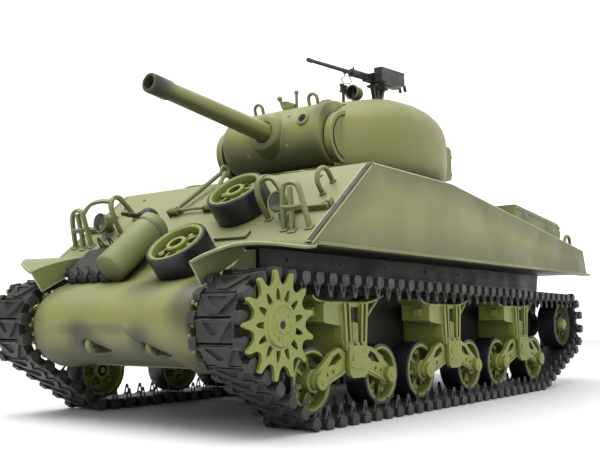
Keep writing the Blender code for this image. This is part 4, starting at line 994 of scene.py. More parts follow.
def lamp_guards():
    """Each headlight on its post, in a cage of bent flat bars beside a box bracket."""
    for side, word in ((1, "left"), (-1, "right")):
        cage = bmesh.new()
        for points, broad in GUARD_BARS:
            put(cage, strap(rounded(points), 2.3, 1.7, broad), glacis_frame(0, 0))
        put(cage, block((59.0, 22.8, -0.4), (78.5, 25.4, 2.8)), glacis_frame(0, 0))
        put(cage, bolt(1.0, 0.7), glacis_frame(76.6, 24.1, 2.7))
        for x, along in ((63, 10), (76, 10), (68, 8.5), (48.6, 19.5), (49.6, 33.2)):
            put(cage, block((-1.9, -1.7, -0.4), (1.9, 1.7, 0.7)), glacis_frame(x, along))
        piece(f"lamp_cage_{word}", on_side(cage, side), FITTING, "hull", f"lamp_guard_{word}", bevel=0.35)
        aim = glacis_frame(58.0, 20.5) @ Matrix.Translation((0, -0.5, 7.4)) @ Matrix.Rotation(
            math.radians(90) - GLACIS_ANGLE, 4, "X"
        )
        lamp = lathe([
            (-5.6, 0), (-5.2, 2.0), (-2.6, 4.3), (1.6, 4.9), (2.2, 5.0), (2.2, 4.4), (1.5, 4.2), (1.5, 0)
        ], 28, (0, 0, 1))
        put(lamp, rod((0, -7.2, -1.4), (0, 0, -0.6), 1.3, 12))
        bmesh.ops.transform(lamp, verts=lamp.verts, matrix=aim)
        piece(f"headlight_{word}", on_side(lamp, side), FITTING, "hull")
        glass = lathe([(1.4, 0), (1.4, 4.15), (2.0, 3.7), (2.6, 1.9), (2.8, 0)], 28, (0, 0, 1))
        bmesh.ops.transform(glass, verts=glass.verts, matrix=aim)
        piece(f"headlight_lens_{word}", on_side(glass, side), LENS, "hull")


def lifting_rings():
    bm = bmesh.new()
    for side in (-1, 1):
        put(bm, hoop(5.0, 10.8, 1.1, 12), glacis_frame(side * 68.4, 41.0, spin=90))
        spot = Vector((side * 73.0, 168.0, deck_z(173.0) - 0.4))
        put(bm, hoop(5.2, 12.2, 1.15, 12), Matrix.Translation(spot) @ turned(90, "Z"))
    piece("lifting_rings", bm, FITTING, "hull")
    lamps = bmesh.new()
    glass = bmesh.new()
    for side in (-1, 1):
        spot = Vector((side * 68.0, REAR_FOOT_Y - 5.0, SPONSON_Z + 9))
        put(lamps, lathe([(0, 0), (0, 3.2), (3.0, 3.2), (3.2, 2.6), (3.2, 0)], 24, (0, 1, 0), spot))
        put(glass, lathe([(3.0, 0), (3.0, 2.4), (3.8, 1.6), (4.2, 0)], 24, (0, 1, 0), spot))
    piece("tail_lamps", lamps, FITTING, "hull", bevel=0.2)
    piece("tail_lamp_lenses", glass, TAIL_RED, "hull")


CANISTER_X, CANISTER_LIFT, STRAP_ALONG = -11.5, 0.6, 6.2


def canister():
    """A closed cylindrical canister lying up the slope, with a rolled seam near its upper end."""
    radius, low, high = 7.5, -23.0, 12.0
    profile = [(low, 0), (low, radius - 1.0), (low + 0.3, radius - 0.4), (low + 0.9, radius)]
    profile += [
        (high - 5.4, radius), (high - 5.1, radius - 0.35), (high - 4.6, radius - 0.35), (high - 4.3, radius)
    ]
    profile += [(high - 0.8, radius), (high - 0.2, radius - 0.5), (high, radius - 1.2), (high, 0)]
    direction = (0, math.cos(GLACIS_ANGLE), math.sin(GLACIS_ANGLE))
    bm = lathe(profile, 48, direction, on_glacis(CANISTER_X, 0, radius + CANISTER_LIFT))
    piece("stowed_canister", bm, FITTING, "hull", "glacis_canister", angle=40)
    straps = bmesh.new()
    ring = []
    for k in range(25):
        angle = math.radians(-30 + 240 * k / 24)
        around = (radius + 0.1) * math.cos(angle), (radius + 0.1) * math.sin(angle)
        ring.append((around[0], STRAP_ALONG, radius + CANISTER_LIFT + around[1]))
    put(straps, tube(ring, 0.24, 6), glacis_frame(CANISTER_X, 0))
    put(straps, rod((-5.5, 15.0, 0.9), (-11.0, 19.0, 0.9), 0.9, 10), glacis_frame(CANISTER_X, 0))
    piece("canister_straps", straps, SEAM, "hull")


def road_wheel_meshes():
    """Dished rim with six webs, bosses and an open hub tube, and a separate tyre, turned about X at
    the origin."""
    half, outside = WHEEL_HALF_WIDTH, WHEEL_RADIUS - 1.2
    rim = lathe(both_sides([
        (half - 0.4, outside), (half, outside - 0.3), (half, outside - 1.1), (half - 0.5, outside - 1.6),
        (half - 2.4, outside - 1.9), (1.5, outside - 2.3), (1.0, outside - 2.8), (1.0, 4.4),
    ]), 56)
    windows = bmesh.new()
    for k in range(6):
        middle = 60 * k
        outline = arc(
            (0, 0), outside - 3.2, middle - 12, middle + 12, 7
        ) + arc((0, 0), 6.0, middle + 12, middle - 12, 4)
        put(windows, prism(outline, "X", -3, 3))
    rim = carved(rim, windows)
    put(rim, lathe(both_sides([
        (half - 0.5, 3.0), (half - 0.4, 3.2), (half - 0.4, 4.2), (half - 0.9, 4.7), (1.6, 4.9), (0.8, 5.3),
    ]), 40))
    for k in range(6):
        turn = turned(60 * k + 30, "X")
        for face in (-1, 1):
            web = [
                (4.2, 0.6), (outside - 2.2, 0.6), (outside - 2.2, 1.9), (outside - 4.0, 2.3), (5.4, 3.2),
                (4.2, 3.6)
            ]
            rib = bmesh.new()
            verts = [rib.verts.new((face * x, -0.75, r)) for r, x in web]
            grown = bmesh.ops.extrude_face_region(rib, geom=[rib.faces.new(verts)])["geom"]
            bmesh.ops.translate(rib, verts=[v for v in grown if isinstance(v, CORNER)], vec=(0, 1.5, 0))
            put(rim, rib, turn)
            boss = lathe(
                [(0.4, 0), (0.4, 1.9), (2.4, 1.7), (3.0, 1.1), (3.2, 0)], 14, (face, 0, 0), (0, 0, 8.6)
            )
            put(rim, boss, turn @ turned(15, "X"))
    tyre = lathe(both_sides([
        (half - 0.6, outside - 0.1), (half - 0.1, outside + 0.1), (half, WHEEL_RADIUS - 0.7),
        (half - 0.4, WHEEL_RADIUS - 0.15), (half - 1.0, WHEEL_RADIUS),
    ]), 64)
    return rim, tyre


def spare_and_road_wheels():
    """Twelve road wheels on their arms and two spares stowed face up on the front plate."""
    rim, tyre = road_wheel_meshes()
    first = None
    for side, letter in ((1, "L"), (-1, "R")):
        for number in range(1, 7):
            name = f"road_wheel_{letter}{number}"
            low, high = mm_box(name)
            level = Matrix.Translation((low + high) / 2) @ Matrix.Rotation(0 if side > 0 else math.pi, 4, "Z")
            place = level @ turned(23 * number, "X")
            if first is None:
                first = (
                    at_origin(f"rim_{letter}{number}", rim, GEAR, place, name, name, "running_gear_paint"),
                    at_origin(f"tyre_{letter}{number}", tyre, TYRE, level, name, (), "track_rubber"),
                )
            else:
                copy_of(first[0], f"rim_{letter}{number}", place, name, name)
                copy_of(first[1], f"tyre_{letter}{number}", level, name, ())
    for node, x, along, spin in (
        ("spare_wheel_upper", 28.0, 29.5, 10), ("spare_wheel_lower", 22.5, -10.7, 40)
    ):
        place = glacis_frame(x, along, WHEEL_HALF_WIDTH + 0.6, spin) @ Matrix.Rotation(-math.pi / 2, 4, "Y")
        copy_of(first[0], f"{node}_rim", place, "hull", node)
        copy_of(first[1], f"{node}_tyre", place, "hull", ())


def at_origin(name, bm, finish, matrix, body, stands_for, slot):
    """A piece whose mesh is made round its own centre, so that it turns and repeats well."""
    made = piece(name, bm, finish, body, stands_for, slot=slot)
    made.parent = None
    place_in_mm(made, matrix)
    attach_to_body(made, body)
    return made


SPARE_LINKS, SPARE_LINK_ALONG = 4, -10.0


def spare_links():
    """Four spare links lying across the foot of the front plate."""
    bm = bmesh.new()
    low, high = mm_box("spare_track_links")
    pitch = (high.x - low.x - 8.4) / (SPARE_LINKS - 1)
    for i in range(SPARE_LINKS):
        link = link_mesh(8.3)
        place = glacis_frame(low.x + 4.2 + i * pitch, SPARE_LINK_ALONG, TRACK_THICKNESS / 2 + 0.5, spin=90)
        put(bm, link, place @ Matrix.Rotation(math.pi, 4, "X"))
    piece("stowed_links", bm, TRACK, "hull", "spare_track_links", angle=40, slot="track_rubber")


def travel_lock():
    """The folded gun lock: two flat legs meeting at a clamp head, hinged at their feet."""
    pivot = joint("travel_lock_hinge")
    up = Vector((0, math.cos(GLACIS_ANGLE), math.sin(GLACIS_ANGLE)))
    out = Vector((0, -math.sin(GLACIS_ANGLE), math.cos(GLACIS_ANGLE)))
    apex = pivot + up * 30 + out * 1.5
    bm = bmesh.new()
    for side in (-1, 1):
        foot = pivot + Vector((side * 12.0, 0, 0))
        put(bm, tube([
            foot, foot.lerp(apex, 0.5) + Vector((side * 0.5, 0, 0)), apex + Vector((side * 1.8, 0, 0))
        ], 1.2, 10))
        put(bm, rod(foot - Vector((2.2, 0, 0)), foot + Vector((2.2, 0, 0)), 1.9, 16))
        put(bm, ball(foot + Vector((side * 2.4, 0, 0)), 0.9, 10))
    put(bm, rod(pivot - Vector((13.0, 0, 0)), pivot + Vector((13.0, 0, 0)), 0.8, 12))
    head = apex + up * 2.0
    collar = [
        head + up * math.cos(a) * 2.6 + out * math.sin(a) * 2.6
        for a in [2 * math.pi * k / 24 for k in range(24)]
    ]
    put(bm, tube(collar, 0.9, 8, closed=True))
    put(bm, rod(head - Vector((2.6, 0, 0)) - up * 2.4, head + Vector((2.6, 0, 0)) - up * 2.4, 0.9, 10))
    piece("gun_travel_lock", bm, FITTING, "travel_lock", "travel_lock")
    ears = bmesh.new()
    for side in (-1, 1):
        put(
            ears, block((side * 12.0 - 3.4, -2.2, 0), (side * 12.0 - 2.6, 2.2, 3.6)),
            glacis_frame(pivot.x, 33.0)
        )
        put(
            ears, block((side * 12.0 + 2.6, -2.2, 0), (side * 12.0 + 3.4, 2.2, 3.6)),
            glacis_frame(pivot.x, 33.0)
        )
    piece("travel_lock_brackets", ears, FITTING, "hull", bevel=0.2)


BOX_TOP_Z, BOX_FALL = 117.4, 0.085    # the lid's height at its front end, and how it falls to the rear


def stowage_box():
    """The tool box on the rear left of the deck, with an overhanging lid that falls with the deck,
    hasps and hinges."""
    low, high = mm_box("stowage_box")

    def lid_top(y):
        return BOX_TOP_Z - BOX_FALL * (y - low.y)

    bm = bmesh.new()
    end = lid_top(high.y)
    outline = [
        (low.y, deck_z(low.y) + 0.4), (high.y - 4.2, deck_z(high.y - 4.0) + 0.4), (high.y - 0.2, end - 5.6),
        (high.y - 2.2, end - 3.2), (high.y - 6.0, lid_top(high.y - 6.0) - 2.2), (low.y, lid_top(low.y) - 2.2),
    ]
    put(bm, prism(outline, "X", low.x + 0.4, high.x - 0.4))
    lid = [
        (low.y, lid_top(low.y) - 2.6), (high.y - 4.0, end - 2.4), (high.y - 2.2, end - 3.2),
        (high.y - 1.6, end - 2.0), (high.y - 7.0, lid_top(high.y - 7.0)), (low.y, lid_top(low.y)),
    ]
    put(bm, prism(lid, "X", low.x, high.x))
    for y in (low.y + 14, low.y + 54):
        top = lid_top(y)
        put(bm, block((high.x - 0.5, y, top - 6.6), (high.x - 0.05, y + 4, top - 1.0)))
        put(bm, rod((high.x - 0.9, y - 0.8, top - 2.4), (high.x - 0.9, y + 4.8, top - 2.4), 0.8, 10))
    piece("tool_box", bm, FITTING, "hull", "stowage_box", bevel=0.4)


GRILLE_SLATS = 14


def engine_deck():
    """Grille doors with raised slats and hinges, two filler caps, a rail and bolts on the sloping deck."""
    slope_frame = deck_frame(0, 118.0)
    bm = bmesh.new()
    put(bm, block((-46.0, -52.0, 0.2), (46.0, 52.0, 0.9)), slope_frame)
    for low_y, high_y in ((-50.0, -1.6), (1.6, 50.0)):
        for low_x, high_x in ((-44.5, -1.0), (1.0, 44.5)):
            for frame_low, frame_high in (
                ((low_x, low_y), (high_x, low_y + 3)), ((low_x, high_y - 3), (high_x, high_y)),
                ((low_x, low_y), (low_x + 3, high_y)), ((high_x - 3, low_y), (high_x, high_y)),
            ):
                put(bm, block((*frame_low, 0.6), (*frame_high, 1.8)), slope_frame)
            for k in range(GRILLE_SLATS):
                y = low_y + 4.6 + (high_y - low_y - 9.2) * k / (GRILLE_SLATS - 1)
                put(bm, block((low_x + 2, y - 0.8, 0.6), (high_x - 2, y + 0.8, 1.6)), slope_frame)
            outer = high_x if low_x > 0 else low_x
            for y in (low_y + 9, high_y - 9):
                put(bm, rod((outer, y - 2.5, 1.2), (outer, y + 2.5, 1.2), 0.8, 10), slope_frame)
    piece("deck_grilles", bm, HULL, "hull", "engine_deck", bevel=0.15)
    caps = bmesh.new()
    for side in (-1, 1):
        put(
            caps, lathe([(0, 0), (0, 5.4), (1.4, 5.2), (1.9, 4.2), (1.9, 0)], 32, (0, 0, 1)),
            deck_frame(side * 62.0, 82.0)
        )
        put(caps, block((-4.6, -0.7, 1.6), (4.6, 0.7, 2.6)), deck_frame(side * 62.0, 82.0))
    put(caps, block((-30, 0, 0), (30, 1.6, 1.6)), deck_frame(0, 170.0))
    for index in range(9):
        put(caps, bolt(0.9, 0.6), deck_frame(-44 + 11 * index, 63.0))
    piece("filler_caps", caps, FITTING, "hull", bevel=0.25)


# ---------------------------------------------------------------- tracks

def track_path():
    """The pin line around the wheels, as the CAD has it: (length, distance to (y, z, outward angle))."""
    half = TRACK_THICKNESS / 2
    on_wheel = WHEEL_RADIUS + TYRE_GAP + half
    first, last = joint("road_wheel_L1_spin"), joint("road_wheel_L6_spin")
    circles = [
        (SPROCKET.y, SPROCKET.z, SPROCKET_PITCH_RADIUS), (first.y, first.z, on_wheel),
        (last.y, last.z, on_wheel), (IDLER.y, IDLER.z, IDLER_RADIUS + TYRE_GAP + half),
    ]
    normals = []
    for (y1, z1, r1), (y2, z2, r2) in zip(circles, circles[1:] + circles[:1]):
        span = math.hypot(y2 - y1, z2 - z1)
        normals.append(math.atan2(z2 - z1, y2 - y1) - math.pi / 2 + math.asin((r1 - r2) / span))
    pieces = []
    for i, (y, z, r) in enumerate(circles):
        start, end = normals[i - 1], normals[i]

        def bend(s, y=y, z=z, r=r, start=start):
            angle = start + s / r
            pin = r / math.cos(NOMINAL_PITCH / (2 * r))
            return (y + pin * math.cos(angle), z + pin * math.sin(angle))

        y2, z2, r2 = circles[(i + 1) % len(circles)]
        leave = (y + r * math.cos(end), z + r * math.sin(end))
        meet = (y2 + r2 * math.cos(end), z2 + r2 * math.sin(end))
        run = math.dist(leave, meet)

        def straight(s, leave=leave, meet=meet, run=run):
            share = s / run
            return (leave[0] + share * (meet[0] - leave[0]), leave[1] + share * (meet[1] - leave[1]))

        pieces += [(r * ((end - start) % (2 * math.pi)), bend), (run, straight)]
    return pieces


def pins():
    """(y, z) of every track pin, in order."""
    pieces = track_path()
    total = sum(length for length, _ in pieces)
    places = []
    for i in range(LINKS):
        distance = i * total / LINKS
        for length, where in pieces:
            if distance <= length:
                places.append(where(distance))
                break
            distance -= length
    return places


def link_mesh(length):
    """One link about its middle: X across, Y along the run, Z outwards to the ground side."""
    half, thick = TRACK_WIDTH / 2, TRACK_THICKNESS / 2
    pad = half - 3.9
    reach = length / 2 - 0.2
    bm = prism([
        (-reach, -thick + 0.6), (-reach + 0.5, -thick + 0.1), (reach - 0.5, -thick + 0.1),
        (reach, -thick + 0.6),
        (reach, 0.9), (reach - 0.4, 1.3), (-reach + 0.4, 1.3), (-reach, 0.9),
    ], "X", -pad, pad)
    run = [(-pad + 0.2, -reach + 0.5), (-2.4, reach - 0.6), (2.4, reach - 0.6), (pad - 0.2, -reach + 0.5)]
    inner = [(pad - 3.0, -reach + 0.5), (1.2, reach - 2.9), (-1.2, reach - 2.9), (-pad + 3.0, -reach + 0.5)]
    put(bm, prism(run + inner, "Z", 1.0, thick - 0.02))
    put(bm, block((-pad + 2.4, -reach + 0.2, 1.0), (pad - 2.4, -reach + 1.2, 1.9)))
    for side in (-1, 1):
        low, high = sorted((side * (pad + 0.15), side * (half - 0.05)))
        outline = [
            (-2.5, -1.2), (-1.8, -2.2), (1.8, -2.2), (2.5, -1.2), (2.6, 0.9), (1.8, 2.2), (-1.8, 2.2),
            (-2.6, 0.9)
        ]
        shift = length / 2
        put(bm, prism([(y + shift, z) for y, z in outline], "X", low, high))
        put(bm, rod((side * (half - 0.3), shift - 1.0, 0), (side * half, shift - 1.0, 0), 0.8, 8))
        put(bm, rod((side * (half - 0.3), shift + 1.0, 0), (side * half, shift + 1.0, 0), 0.8, 8))
        horn_x = side * (half - 1.6)
        for lean in (-1, 1):
            start, end = (horn_x, shift + lean * 1.7, -1.7), (horn_x, shift + lean * 0.4, -HORN_TIP + 0.3)
            put(bm, rod(start, end, 0.62, 4, end_radius=0.42))
        web = [(-1.7, -1.7), (1.7, -1.7), (1.1, -3.0), (-1.1, -3.0)]
        put(bm, prism([(y + shift, z) for y, z in web], "X", horn_x - 0.9, horn_x + 0.9))
        tip = [(-0.75, -5.4), (0.75, -5.4), (0.4, -HORN_TIP + 0.2), (-0.4, -HORN_TIP + 0.2)]
        put(bm, prism([(y + shift, z) for y, z in tip], "X", horn_x - 0.45, horn_x + 0.45))
    return bm


def tracks():
    """Both tracks: a shoe, connectors and guide horns for every link of the CAD's belt."""
    places = pins()
    for side, word in ((1, "left"), (-1, "right")):
        bm = bmesh.new()
        centre = side * (TRACK_LOW.x + TRACK_HIGH.x) / 2
        for here, there in zip(places, places[1:] + places[:1]):
            span = math.dist(here, there)
            run = Vector((0, there[0] - here[0], there[1] - here[1])).normalized()
            outward = Vector((0, run.z, -run.y))
            across = run.cross(outward)
            middle = Vector((centre, (here[0] + there[0]) / 2, (here[1] + there[1]) / 2))
            matrix = Matrix((across, run, outward)).transposed().to_4x4()
            matrix.translation = middle
            put(bm, link_mesh(span), matrix)
        for vert in bm.verts:
            vert.co.z = max(vert.co.z, GROUND_CLEARANCE)
        piece(f"track_links_{word}", bm, TRACK, "hull", f"track_{word}", angle=38, slot="track_rubber")


# ---------------------------------------------------------------- running gear

TOOTH_FLANK = (
    (13.85, 15.3), (11.0, 15.4), (8.2, 15.9), (6.0, 16.8), (4.4, 18.0), (3.3, 19.4), (2.5, 20.3),
    (1.2, 20.75), (0.0, 20.8),
)


def tooth_outline():
    """Sprocket edge: slender blunt teeth with wide round valleys for the track's connectors."""
    points = []
    flank = [(-turn, radius) for turn, radius in TOOTH_FLANK] + [
        (turn, radius) for turn, radius in TOOTH_FLANK[-2:0:-1]
    ]
    for i in range(SPROCKET_TEETH):
        middle = 360 / SPROCKET_TEETH * i + 180
        for turn, radius in flank:
            angle = math.radians(middle + turn)
            points.append((radius * math.cos(angle), radius * math.sin(angle)))
    return points


def toothed_ring(low, high, size=1.0):
    """A toothed plate with a narrow window behind every tooth."""
    plate = prism([(y * size, z * size) for y, z in tooth_outline()], "X", low, high)
    windows = bmesh.new()
    for i in range(SPROCKET_TEETH):
        middle = 360 / SPROCKET_TEETH * i + 180
        corners = [
            (9.6, -7.6), (9.6, 7.6), (11.4, 6.2), (13.0, 3.8), (14.0, 1.2), (14.0, -1.2), (13.0, -3.8),
            (11.4, -6.2)
        ]
        outline = [(
            r * math.cos(math.radians(middle + t)), r * math.sin(math.radians(middle + t))
        ) for r, t in corners]
        put(windows, prism(outline, "X", low - 2, high + 2))
    return carved(plate, windows)


def sprockets():
    for side, word in ((1, "left"), (-1, "right")):
        body = f"sprocket_{word}"
        bm = bmesh.new()
        put(bm, toothed_ring(79.1, 80.6))
        put(bm, toothed_ring(51.1, 52.5, 0.86))
        put(bm, lathe([
            (51.6, 0), (51.6, 9.4), (53.5, 8.6), (57.0, 8.0), (75.0, 8.0), (78.6, 8.8), (79.6, 9.4), (79.6, 0)
        ], 40))
        put(bm, lathe([
            (80.2, 0), (80.2, 8.9), (80.9, 8.7), (81.1, 8.4), (81.5, 8.2), (81.7, 7.8), (81.6, 7.2),
            (81.45, 7.0),
            (81.45, 3.4), (81.75, 3.1), (81.75, 1.7), (80.9, 1.5), (80.9, 0),
        ], 48))
        for k in range(10):
            angle = 2 * math.pi * k / 10
            spot = (81.2, 5.3 * math.cos(angle), 5.3 * math.sin(angle))
            put(bm, rod(spot, (81.85, *spot[1:]), 0.75, 8, end_radius=0.6))
        put(bm, rod((38.0, 0, 0), (52.0, 0, 0), 3.0, 16))
        bmesh.ops.translate(bm, verts=bm.verts, vec=(0, SPROCKET.y, SPROCKET.z))
        piece(
            f"sprocket_wheel_{word}", on_side(bm, side), GEAR, body, body, bevel=0.18,
            slot="running_gear_paint"
        )
        # painted shade in the sprocket's bore
        hole = lathe(
            [(80.85, 0), (80.85, 1.45), (81.6, 1.45), (81.6, 0)], 20, centre=(0, SPROCKET.y, SPROCKET.z)
        )
        piece(f"sprocket_bore_{word}", on_side(hole, side), HOLLOW_SHADE_AND_SEAM, body, slot="running_gear_paint")


def idlers():
    """The rear wheels: a dished rim with six webs, painted darker as shade, a rubber tyre and a domed cap."""
    r = IDLER_RADIUS
    for side, word in ((1, "left"), (-1, "right")):
        body = f"idler_{word}"
        bm = lathe([
            (5.9, r - 1.1), (6.2, r - 1.6), (6.1, r - 2.3), (5.4, r - 2.8), (3.4, r - 3.2), (2.2, r - 4.0),
            (1.6, 6.4), (2.6, 5.4),
            (4.4, 5.0), (4.8, 4.4), (4.8, 1.9), (-4.8, 1.9), (-4.8, 4.4), (-2.6, 5.4), (-1.6, 6.4),
            (-2.2, r - 4.0),
            (-3.4, r - 3.2), (-6.1, r - 2.3), (-6.2, r - 1.6), (-5.9, r - 1.1),
        ], 56)
        tyre = lathe(both_sides([(5.6, r - 1.2), (6.1, r - 0.9), (6.1, r - 0.5), (5.6, r)]), 64)
        for k in range(6):
            turn = turned(60 * k + 12, "X")
            put(bm, block((1.2, -0.9, 5.2), (3.2, 0.9, r - 3.4)), turn)
            boss = lathe([(1.4, 0), (1.4, 1.7), (3.4, 1.4), (3.9, 0.8), (4.0, 0)], 14, centre=(0, 0, 9.0))
            put(bm, boss, turn @ turned(30, "X"))
        cap = lathe([(4.2, 0), (4.2, 4.0), (6.4, 3.9), (7.4, 3.3), (8.0, 2.0), (8.2, 0)], 32)
        for k in range(6):
            angle = 2 * math.pi * k / 6
            spot = (5.8, 3.0 * math.cos(angle), 3.0 * math.sin(angle))
            put(cap, rod(spot, (7.5, *spot[1:]), 0.5, 6))
        for name, part, finish, stands_for, slot, bevel in (
            ("wheel", bm, GEAR_IN_SHADE, body, "running_gear_paint", 0.12),
            ("tyre", tyre, TYRE, (), "track_rubber", 0.0),
            ("cap", cap, GEAR, (), "running_gear_paint", 0.1),
        ):
            bmesh.ops.translate(part, verts=part.verts, vec=IDLER)
            piece(
                f"idler_{name}_{word}", on_side(part, side), finish, body, stands_for, bevel=bevel, slot=slot
            )


def bracket_mesh():
    """One left bogie bracket about its own middle: column, box arm, skid, braces and lower cap."""
    bm = bmesh.new()
    column = [(-8.6, 51.3), (-8.6, 36.0), (-7.0, 30.6), (7.0, 30.6), (8.4, 36.0), (8.4, 51.3)]
    put(bm, prism(column, "X", 51.0, 70.6))
    face = carved(
        prism(both_sides([(-9.5, 51.3), (-9.3, 37.0), (-7.4, 31.4)]), "X", 70.0, 74.4),
        block((66, -4.4, 34.6), (80, 4.0, 49.6)),
    )
    put(bm, face)
    for y, width in ((-8.6, 1.5), (-5.2, 1.0), (4.9, 1.3), (8.5, 1.5)):
        low_y = y * 0.82
        outline = [
            (y - width / 2, 51.3), (y + width / 2, 51.3), (low_y + width / 2, 31.2), (low_y - width / 2, 31.2)
        ]
        put(bm, prism(outline, "X", 73.8, 75.9))
    cup = lathe([(33.5, 0), (33.5, 4.3), (42.5, 4.3), (43.2, 3.7), (43.2, 0)], 28, (0, 0, 1), (71.0, 0, 0))
    put(bm, cup)
    for k in range(5):
        angle = math.radians(-50 + 25 * k)
        spot = Vector((71.0 + 4.3 * math.cos(angle), 4.3 * math.sin(angle), 0))
        put(bm, rod((spot.x, spot.y, 33.6), (spot.x, spot.y, 42.4), 0.42, 6))
    cap = both_sides([(-7.0, 33.0), (-7.2, 24.5), (-6.4, 20.8), (-4.6, 19.4)])
    put(bm, prism(cap, "X", 75.2, 77.0))
    put(bm, prism([(-6.6, 32), (-6.6, 21.2), (6.6, 21.2), (6.6, 32)], "X", 60.0, 71.6))
    put(bm, block((76.6, -4.6, 23.6), (77.55, 4.6, 29.4)))
    for y in (-5.0, 0.0, 5.0):
        put(bm, lathe(
            [(31.0, 0), (31.0, 1.7), (34.0, 1.6), (34.8, 0.9), (35.0, 0)], 16, (0, 0, 1), (75.6, y, 0)
        ))
    for y in (-2.6, 2.6):
        put(bm, rod((77.3, y, 26.5), (77.6, y, 26.5), 1.0, 6))
    for y in (-5.5, 5.5):
        put(bm, rod((71.0, y, 25.5), (77.5, y, 25.5), 1.3, 16))
    arm = [(-22.0, 51.3), (-22.0, 43.6), (-20.6, 42.8), (-8.0, 41.4), (-8.0, 51.3)]
    put(bm, prism(arm, "X", 58.2, 74.2))
    put(bm, prism([(-22.2, 51.6), (-22.2, 50.6), (-8.0, 50.6), (-8.0, 51.6)], "X", 58.0, 74.8))
    skid = [(
        -28.2, 54.0
    ), (-26.4, 52.4), (-23.6, 51.6), (-18.0, 51.1), (13.0, 51.1), (18.0, 52.0), (23.0, 53.4), (27.2, 55.2),
            (
                27.0, 55.9 - 0.6
            ), (22.6, 54.2), (17.6, 52.8), (12.8, 52.0), (
                -18.0, 52.0
            ), (-23.4, 52.5), (-26.0, 53.2), (-27.6, 54.6)]
    put(bm, prism(skid, "X", 59.0, 73.0))
    for x in (60.0, 72.2):
        put(bm, tube([(x, 9.0, 42.4), (x, 15.0, 47.0), (x, 21.5, 52.6)], 0.75, 8))
    put(bm, block((66.0, -24.2, 45.6), (70.0, -22.0, 49.4)))
    return bm


def spring_mesh():
    turns, points = 6.5, []
    for k in range(int(turns * 16) + 1):
        angle = 2 * math.pi * k / 16
        points.append((71.0 + 3.0 * math.cos(angle), 3.0 * math.sin(angle), 43.0 + 6.3 * k / (turns * 16)))
    return tube(points, 0.42, 6)


def bogie_brackets():
    for side, letter in ((1, "L"), (-1, "R")):
        for index in range(BOGIES):
            node = f"bogie_bracket_{letter}{index + 1}"
            middle = (
                joint(f"road_wheel_{letter}{2 * index + 1}_spin").y
                + joint(f"road_wheel_{letter}{2 * index + 2}_spin").y
            ) / 2
            for part, bm, finish, stands_for, bevel in (
                ("casting", bracket_mesh(), GEAR, node, 0.25), ("spring", spring_mesh(), SPRING, (), 0.0),
            ):
                bmesh.ops.translate(bm, verts=bm.verts, vec=(0, middle, 0))
                piece(
                    f"{node}_{part}", on_side(bm, side), finish, "hull", stands_for, bevel=bevel,
                    slot="running_gear_paint"
                )


def arm_mesh(end):
    """One left swing arm about its pivot: a pierced triangular plate, hub boss and axle."""
    hub_y, hub_z = 21.25, -6.2
    outline = arc((hub_y, hub_z), 3.9, -112, 50, 9) + [
        (16.5, 1.6), (12.0, 5.0), (6.4, 7.0), (1.6, 5.0)
    ] + arc((0, 0), 3.4, 110, 262, 8)
    plate = prism([(end * y, z) for y, z in outline], "X", 72.5, 74.8)
    window = [(14.4, -0.6), (10.6, 3.4), (6.6, 5.0), (4.6, 2.6), (8.8, 0.2)]
    holes = prism([(end * y, z) for y, z in window], "X", 70, 78)
    put(holes, rod((70, 0, 0), (78, 0, 0), 1.7, 20))
    for y, z in ((10.8, -3.0), (15.2, -4.3)):
        put(holes, rod((74.1, end * y, z), (76, end * y, z), 0.95, 16))
    plate = carved(plate, holes)
    for half_width, low, high in ((3.7, 74.6, 77.3), (4.9, 70.9, 72.9)):
        profile = [(low, 0), (low, half_width), (high - 0.3, half_width), (high, half_width - 0.4), (high, 0)]
        put(plate, lathe(profile, 32, centre=(0, end * hub_y, hub_z)))
    put(plate, lathe([(77.0, 0), (77.0, 1.7), (77.7, 1.5), (77.8, 0)], 6, centre=(0, end * hub_y, hub_z)))
    put(plate, rod((60.4, end * hub_y, hub_z), (74.0, end * hub_y, hub_z), 1.5, 16))
    rib = [(3.0, -3.2), (18.0, -8.6), (18.4, -9.4), (2.6, -3.9)]
    put(plate, prism([(end * y, z + 0.6) for y, z in rib], "X", 72.5, 75.5))
    return plate


def swing_arms():
    for side, letter in ((1, "L"), (-1, "R")):
        for number in range(1, 7):
            node = f"swing_arm_{letter}{number}"
            end = -1 if number % 2 else 1
            pivot = joint(f"{node}_swing")
            bm = arm_mesh(end)
            bmesh.ops.translate(bm, verts=bm.verts, vec=(0, pivot.y, pivot.z))
            piece(
                f"arm_{letter}{number}", on_side(bm, side), GEAR, node, node, bevel=0.2,
                slot="running_gear_paint"
            )


# ---------------------------------------------------------------- turret

def turret_radius(angle):
    """Plan outline: a circle with a bustle at the back (angle 90 degrees)."""
    toward_back = math.sin(angle)
    if toward_back <= 0:
        return TURRET_RADIUS
    side = 37.0 / max(abs(math.cos(angle)), 0.001)
    back = (TURRET_HIGH.y - TURRET_CENTRE.y - 0.5) / toward_back
    bustle = (side ** -6 + min(back, TURRET_REACH / toward_back) ** -6) ** (-1 / 6)
    return (TURRET_RADIUS ** 8 + bustle ** 8) ** (1 / 8) if bustle > 40 else TURRET_RADIUS


def roof_drop(y, z):
    """How far the roof slopes down towards the gun."""
    share = min(max((z - 148.0) / (ROOF_TOP_Z - 148.0), 0.0), 1.0)
    return share * 0.22 * max(0.0, -25.0 - y)


LEVELS = [
    (117.3, 0.855), (118.0, 0.885), (119.6, 0.925), (122.0, 0.955), (126.0, 0.978), (132.0, 0.990),
    (140.0, 0.992), (147.0, 0.985),
    (152.0, 0.962), (156.0, 0.925), (159.5, 0.873), (162.2, 0.805), (164.2, 0.725), (165.6, 0.63),
    (166.4, 0.53), (166.9, 0.42),
    (167.0, 0.25),
]


